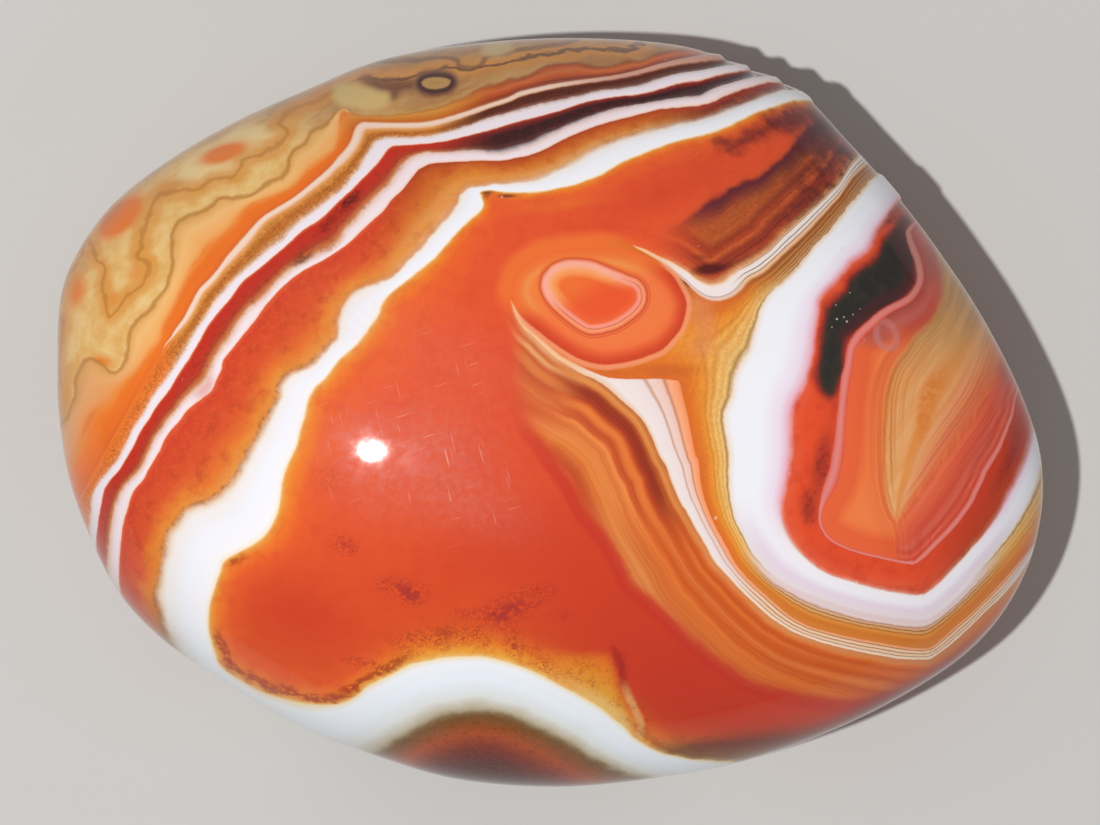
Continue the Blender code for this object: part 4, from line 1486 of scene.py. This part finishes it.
behind_streak = streak_by(edge("fourth_white_out"), 3.4, 260.0)
paint = tint(paint, (204, 104, 42), product(behind, behind_streak), 0.25)
paint = tint(paint, (228, 140, 86), product(behind, turned("tan_nook", 0.1, 0.9)), 0.65)
paint = tint(paint, (196, 90, 40), product(behind, turned("red_nook", 0.1, 0.9)), 0.5)
fibre = product(behind, squiggle, turned("picture_y", 560, 500))
paint = tint(paint, (176, 96, 46), fibre, 0.25)
paint = tint(paint, (80, 24, 22), product(behind, turned("dark_spot", 0.2, 0.9)), 0.85)

# %% [markdown]
# The eye was a tube of its own. Its skin, a ring of pink and peach lines and its filling all
# follow two drawn ovals, and each is lighter on the upper left and redder on the lower right.

# %% Paint the eye
BODY_UPPER = [(0.0, 236, 108, 48), (0.35, 236, 120, 56), (0.7, 236, 142, 74), (1.0, 240, 124, 58)]
BODY_LOWER = [(0.0, 206, 66, 36), (0.25, 222, 84, 44), (0.7, 240, 114, 60), (1.0, 240, 120, 64)]
RING_UPPER = [
    (0.0, 240, 126, 58), (0.12, 234, 110, 50), (0.19, 206, 84, 46), (0.28, 240, 144, 112),
    (0.36, 248, 170, 148), (0.5, 246, 168, 138), (0.68, 246, 158, 96), (0.85, 244, 142, 74),
    (1.0, 238, 110, 48),
]
RING_LOWER = [
    (0.0, 240, 120, 62), (0.06, 216, 88, 50), (0.12, 238, 114, 58), (0.19, 204, 74, 46),
    (0.27, 238, 130, 84), (0.36, 252, 156, 110), (0.42, 212, 108, 80), (0.48, 246, 150, 130),
    (0.55, 246, 146, 124), (0.66, 238, 100, 54), (1.0, 234, 88, 44),
]
RINGS_START = 6.0  # pixels outside the drawn oval
RINGS_WIDTH = 24.0
slanted = strength(edge("picture_x", -595.0), 0.35)
slanted = number("ADD", slanted, edge("picture_y", -290.0))
lower_right = ease(slanted, -14.0, 14.0)
rim = edge("eye_rim", 0, 0.2, 0.4)
round_eye = ease(rim, -20.0, -6.0)
round_eye = product(round_eye, turned("picture_y", 322, 284), turned("picture_x", 640, 600))
paint = tint(paint, (238, 112, 50), round_eye, 0.9)
peach_ring = product(line_mask(number("ADD", rim, 2.5), 7.0), lower_right)
paint = tint(paint, (244, 150, 108), peach_ring, 0.8)
rim_place = ease(rim, 0.0, 24.0)
body = blend(shade(rim_place, BODY_UPPER), shade(rim_place, BODY_LOWER), lower_right)
paint = blend(paint, body, soft(rim, 2.5))
ring = edge("eye_ring", 0, 0.15, 0.2)
ring_place = number("DIVIDE", number("ADD", ring, RINGS_START), RINGS_WIDTH, clamp=True)
rings = blend(shade(ring_place, RING_UPPER), shade(ring_place, RING_LOWER), lower_right)
eye_right = ease(edge("picture_x"), 575, 620)
rings = tint(rings, (234, 84, 42), product(eye_right, ease(ring, 10, 20)), 0.8)
paint = blend(paint, rings, ease(ring, -6.0, -4.0))

# %% [markdown]
# The fourth white band is the widest line of this family. Inside it lies a cell of clear red with
# a dark green pool, a pink line, and the nest of threads.

# %% Paint the fourth white band and its red cell
FOURTH_WHITE = [
    (0.0, 240, 222, 205), (0.1, 242, 240, 244), (0.5, 242, 242, 250), (0.82, 240, 222, 236),
    (1.0, 236, 170, 186),
]
FOURTH_LOW = [
    (0.0, 232, 220, 222), (0.3, 232, 214, 228), (0.6, 242, 238, 246), (0.92, 244, 236, 238),
    (1.0, 226, 176, 150),
]
RED_CELL = [(0.0, 238, 140, 120), (0.08, 230, 92, 58), (0.3, 230, 78, 40), (1.0, 224, 74, 38)]
RED_CELL_RIGHT = [(0.0, 190, 110, 76), (0.1, 186, 62, 34), (0.5, 200, 60, 32), (1.0, 206, 64, 36)]
CELL_FRINGE = 50.0  # pixels that the cell's colours change over, in from its edge
heart_paint = paint
fourth_edge = edge("fourth_white_out", 0, 0.2, 0.3)
fourth_mask = soft(fourth_edge, 3.0)
fourth = place_across(fourth_edge, edge("fourth_white_in"))
paint = blend(
    shade(fourth, FOURTH_WHITE), shade(fourth, FOURTH_LOW),
    turned("picture_y", 490, 560),
)
cell_edge = edge("fourth_white_in", 0, 0.3, 0.4)
cell_place = number("DIVIDE", cell_edge, CELL_FRINGE, clamp=True)
cell = shade(cell_place, RED_CELL)
cell = blend(cell, shade(cell_place, RED_CELL_RIGHT), turned("picture_x", 900, 980))
cell_fog = ease(edge("picture_y"), 470, 540, 9.0, 2.5)
paint = blend(paint, cell, soft(cell_edge, cell_fog))
in_cell = soft(cell_edge, 6.0)
cell_cloud = product(ease(mottle, 0.48, 0.68), in_cell)
paint = tint(paint, (200, 56, 32), cell_cloud, 0.4)
dark_cell = product(turned("cell_shadow", 0.1, 1.1), in_cell)
paint = tint(paint, (136, 34, 30), dark_cell, 0.7)
cell_dots = product(ease(moss, 0.5, 0.66), dark_cell)
paint = tint(paint, (96, 22, 30), cell_dots, 0.6)

# %% Paint the green pool
POOL = [
    (0.0, 226, 80, 42), (0.2, 208, 64, 36), (0.42, 130, 44, 36), (0.6, 64, 44, 36),
    (0.8, 46, 44, 38), (1.0, 42, 40, 36),
]
POOL_SPECKS = [
    # x, y, radius, how white
    (837, 319, 1.0, 0.7), (844, 317, 0.8, 0.6), (847, 321.5, 1.0, 0.7), (853, 314.5, 0.8, 0.5),
    (832, 327, 0.8, 0.4), (836, 305, 0.8, 0.4), (850, 292.6, 0.8, 0.4), (860, 309, 0.7, 0.3),
    (682, 202, 1.3, 0.4), (733, 217, 1.5, 0.6), (708, 265, 1.2, 0.7), (274, 319, 1.2, 0.5),
]
speck, start, end = new_group("Speck", {"X": 0.0, "Y": 0.0, "Radius": 2.0}, ["Mask"])
off = add(
    speck, "ShaderNodeCombineXYZ", {0: start.outputs["X"], 1: start.outputs["Y"]}
).outputs[0]
off = add(speck, "ShaderNodeVectorMath", {0: off}, operation="LENGTH").outputs[1]
off = maths(speck, "DIVIDE", off, start.outputs["Radius"])
speck.links.new(smooth(speck, off, 0.5, 1.4, 1.0, 0.0), end.inputs["Mask"])

pool = edge("green_pool", 0, 0.4, 1.2)
pool_colour = shade(ease(pool, -14.0, 12.0), POOL)
pool_colour = tint(pool_colour, (70, 58, 44), ease(mottle, 0.45, 0.7), 0.3)
paint = blend(paint, pool_colour, product(ease(pool, -14.0, -5.0), in_cell))
beside_line = product(line_mask(edge("pink_line_out", 6.0), 18.0), turned("picture_y", 352, 326))
paint = tint(paint, (70, 36, 38), product(beside_line, ease(pool, -24.0, -12.0)), 0.9)
shallow = ease(edge("depth"), 12.0, 2.0)
for x, y, radius, white in POOL_SPECKS:
    spot = grouped(speck, x=edge("picture_x", -x), y=edge("picture_y", -y), radius=radius)
    spot = spot.outputs["Mask"]
    paint = tint(paint, (232, 214, 200), product(spot, shallow), white)

# %% Paint the pink line and the nest of threads
PINK = [
    (0.0, 206, 70, 48), (0.16, 222, 116, 104), (0.45, 230, 134, 128), (0.75, 226, 116, 104),
    (1.0, 218, 82, 50),
]
PINK_TOP = [(0.0, 150, 80, 70), (0.3, 204, 130, 120), (0.7, 204, 126, 116), (1.0, 180, 76, 60)]
NEST_SIDE = [(0.0, 234, 100, 58), (0.4, 232, 98, 52), (0.7, 242, 124, 66), (1.0, 242, 128, 70)]
NEST_TOP_SIDE = [(0.0, 170, 70, 60), (0.3, 196, 96, 84), (0.7, 190, 84, 66), (1.0, 206, 84, 46)]
NEST_RIGHT_SIDE = [
    (0.0, 204, 66, 46), (0.1, 230, 106, 80), (0.2, 208, 76, 54), (0.34, 220, 104, 82),
    (0.5, 218, 92, 66), (0.75, 228, 100, 66), (1.0, 232, 112, 74),
]
NEST_THREADS = [
    (0.0, 214, 92, 48), (0.03, 240, 146, 76), (0.06, 190, 90, 50), (0.1, 238, 168, 104),
    (0.3, 236, 178, 118), (0.42, 234, 168, 110), (0.48, 228, 146, 74), (0.58, 226, 148, 84),
    (0.64, 234, 166, 114), (0.76, 236, 156, 108), (0.86, 230, 130, 92), (0.94, 228, 104, 78),
    (1.0, 206, 76, 56),
]
NEST_SIDE_WIDTH = 36.0  # pixels between the pink line and the nest
nest_left = edge("nest_left", 0, 0.15, 0.3)
nest_right = edge("nest_right", 0, 0.15, 0.3)
paint = cover(
    paint, edge("pink_line_out", 0, 0.2), edge("pink_line_in"), PINK, 2.0,
    [(turned("picture_y", 330, 260), PINK_TOP)],
)
pink_in = edge("pink_line_in", 0, 0.2)
side_place = number("DIVIDE", pink_in, NEST_SIDE_WIDTH, clamp=True)
side = shade(side_place, NEST_SIDE)
side = blend(side, shade(side_place, NEST_TOP_SIDE), turned("picture_y", 356, 320))
left_streak = streak_by(nest_left, 3.0, 320.0)
right_streak = streak_by(nest_right, 3.0, 320.0)
near_nest = ease(nest_left, -22.0, -4.0)
side = tint(side, (196, 62, 36), product(left_streak, near_nest), 0.55)
right_of_nest = ease(nest_right, 4.0, -4.0)
right_of_nest = product(right_of_nest, turned("picture_x", 878, 914))
right_side = shade(side_place, NEST_RIGHT_SIDE)
right_side = tint(right_side, (196, 54, 38), right_streak, 0.5)
side = blend(side, right_side, right_of_nest)
side = tint(side, (170, 84, 76), turned("rim_mauve", 0.1, 1.0), 0.7)
paint = blend(paint, side, soft(pink_in, 2.0))
in_nest = number("MINIMUM", nest_left, nest_right)
not_right = product(nest_right, -1.0)
nest_place = place_across(nest_left, not_right)
nest = shade(nest_place, NEST_THREADS)
left_part = ease(nest_place, 0.42, 0.2)
nest = tint(nest, (186, 96, 48), product(left_streak, left_part), 0.7)
right_part = ease(nest_place, 0.55, 0.85)
nest = tint(nest, (204, 74, 50), product(right_streak, right_part), 0.7)
wide_streak = streak_by(nest_right, 9.0, 500.0)
nest = tint(nest, (222, 138, 60), wide_streak, 0.45)
orange_core = product(turned("nest_orange", 0.1, 0.9), ease(moss, 0.3, 0.55))
nest = tint(nest, (218, 120, 46), orange_core, 0.75)
upper_nest = turned("picture_y", 390, 300)
nest = tint(nest, (216, 168, 112), upper_nest, 0.6)
olive = product(streak_by(edge("nest_heart"), 8.0, 260.0), upper_nest)
nest = tint(nest, (160, 118, 70), olive, 0.6)
nest_mask = product(ease(in_nest, -2.0, 7.0), soft(pink_in, 2.0))
paint = blend(paint, nest, nest_mask)
curl = product(line_mask(edge("curl", 0, 0.3, 0.3), 9.0), soft(pink_in, 2.0))
paint = tint(paint, (206, 124, 118), curl, 0.55)
print(len(tree.nodes), "nodes so far")

# %% [markdown]
# Wear comes last, with a painted glow. The highest part of the stone has lost a little of its
# polish: a pale haze, into which the lamp's glow round the highlight is painted as a pinkish tint,
# hair-fine scratches that scatter light, painted pale only round the highlight where they catch it,
# and a few chips the size of a pin prick. A scratch is noise that is pulled out very long in one
# direction and cut off so that only its thin crests are left. These are masks, and they will tint
# all three coats.

# %% Make the wear and the painted glow round the highlight
HAZE_AND_GLOW_GRAIN = 0.4 * MM
SCRATCH_GRAIN = 2.4 * MM
SCRATCH_SQUEEZE = 0.06  # the noise is this much narrower across a scratch than along it
SCRATCH_TURNS = (0.25, 1.9)
CHIP_CELLS = 420.0  # places for a chip in each metre

where = add(tree, "ShaderNodeTexCoord").outputs["Object"]
# painted glow round the highlight, mixed with the pale haze of worn polish
haze_and_glow_mark = edge("scratch_haze_and_glow")
haze_and_glow_noise = noise(tree, where, HAZE_AND_GLOW_GRAIN, 2.0, 0.7)
haze_and_glow_cloud = ease(haze_and_glow_noise, 0.35, 0.75, 0.4, 1.0)
haze_and_glow = number("MULTIPLY", haze_and_glow_mark, haze_and_glow_cloud, clamp=True)
haze_and_glow = strength(haze_and_glow, 0.5)
lit_scratches = 0.0
for turn in SCRATCH_TURNS:
    thin = {"Vector": where, "Rotation": (0.0, 0.0, turn), "Scale": (SCRATCH_SQUEEZE, 1.0, 1.0)}
    turned_way = add(tree, "ShaderNodeMapping", thin, vector_type="TEXTURE").outputs[0]
    hair = ease(noise(tree, turned_way, SCRATCH_GRAIN, 1.0, 0.5), 0.7, 0.78)
    lit_scratches = number("MAXIMUM", hair, lit_scratches)
# scratches are painted pale only round the highlight, where they catch its light
lit_scratches = number("MULTIPLY", strength(lit_scratches, 0.4), haze_and_glow_mark, clamp=True)
chips = add(tree, "ShaderNodeTexVoronoi", {"Vector": where, "Scale": CHIP_CELLS})
chips = product(ease(chips.outputs["Distance"], 0.08, 0.04), ease(mottle, 0.55, 0.66))
chips = strength(chips, 0.5)

# %% [markdown]
# The skin is glass-smooth quartz: a dielectric with the refractive index of agate, 1.54. The
# white bands, the heart and the nest are three coats of one surface. They are mixed as shaders,
# because Cycles then works out only the coat that it meets.

# %% Give the stone its polish
SHARPEST, DULLEST = 0.03, 0.075
AGATE_IOR = 1.54
WEAR_GRAIN = 2.2 * MM
SHEEN = 0.35  # a little less than the full 0.5, because handling has dulled the polish

wear = noise(tree, where, WEAR_GRAIN, 3.0, 0.65)
roughness = ease(wear, 0.3, 0.75, SHARPEST, DULLEST)


def polished(paint):
    """The worn and polished surface over this paint, with the highlight's painted glow."""
    # painted glow and haze round the highlight, then scratches painted pale in its light, then
    # chips
    paint = tint(paint, (216, 124, 112), haze_and_glow)
    paint = tint(paint, (250, 200, 180), lit_scratches)
    paint = tint(paint, (240, 214, 190), chips)
    surface = {"Base Color": paint, "Roughness": roughness}
    surface["IOR"] = AGATE_IOR
    surface["Specular IOR Level"] = SHEEN
    return add(tree, "ShaderNodeBsdfPrincipled", surface).outputs[0]


def over(below, above, mask):
    """One finished coat laid over another where the mask is."""
    return add(tree, "ShaderNodeMixShader", {0: mask, 1: below, 2: above}).outputs[0]


stone = over(polished(outer_paint), polished(heart_paint), heart_mask)
stone = over(stone, polished(paint), fourth_mask)
add(tree, "ShaderNodeOutputMaterial", {"Surface": stone})
mesh.materials.append(agate)
print(len(tree.nodes), "nodes in the material")

# %% [markdown]
# The stone lies on a plain pale floor. Its polish mirrors every lamp, so the soft light that fills
# the shadows comes evenly from all round and leaves no shape in the polish. One small round lamp
# near the camera gives most of the light, and its mirror image is the one sharp highlight, left
# of the middle.

# %% Floor
FLOOR_SIZE = 3.0
FLOOR_COLOUR = (200, 199, 196)
FLOOR_ROUGHNESS = 0.75

bpy.ops.mesh.primitive_plane_add(size=FLOOR_SIZE)
floor = bpy.context.object
floor.name = "floor"
pale = bpy.data.materials.new("pale_floor")
pale.use_nodes = True
matt = pale.node_tree.nodes["Principled BSDF"]
matt.inputs["Base Color"].default_value = screen(*FLOOR_COLOUR)
matt.inputs["Roughness"].default_value = FLOOR_ROUGHNESS
floor.data.materials.append(pale)
print("floor", FLOOR_SIZE, "m wide")

# %% Lights
LAMP_PLACE = Vector((-0.106, -0.026, 0.568))
LAMP_SIZE = 0.013
LAMP_WATTS = 2.4
SOFT_LIGHT = 0.3

light = bpy.data.lights.new("front", "AREA")
light.shape = "DISK"
light.size = LAMP_SIZE
light.energy = LAMP_WATTS
lamp = bpy.data.objects.new("front", light)
lamp.location = LAMP_PLACE
lamp.rotation_euler = (-LAMP_PLACE).to_track_quat("-Z", "Y").to_euler()
bpy.context.scene.collection.objects.link(lamp)

world = bpy.data.worlds.new("studio")
world.use_nodes = True
all_round = world.node_tree.nodes["Background"]
all_round.inputs["Color"].default_value = (1.0, 1.0, 1.0, 1.0)
all_round.inputs["Strength"].default_value = SOFT_LIGHT
bpy.context.scene.world = world
bpy.context.scene.view_settings.view_transform = "Standard"
print("lamp", round(LAMP_PLACE.length, 2), "m from the stone")

# %% [markdown]
# The camera looks straight down on the banded face, as in the picture, from a little under half a
# metre. At that distance the stone fills most of the frame.

# %% Camera
camera = bpy.data.cameras.new("camera")
camera.sensor_width = 36.0
camera.lens = 220.0
camera_object = bpy.data.objects.new("camera", camera)
camera_object.location = (0.0, 0.0, CAMERA_HEIGHT)
bpy.context.scene.collection.objects.link(camera_object)
bpy.context.scene.camera = camera_object
print("camera", CAMERA_HEIGHT, "m above the floor")
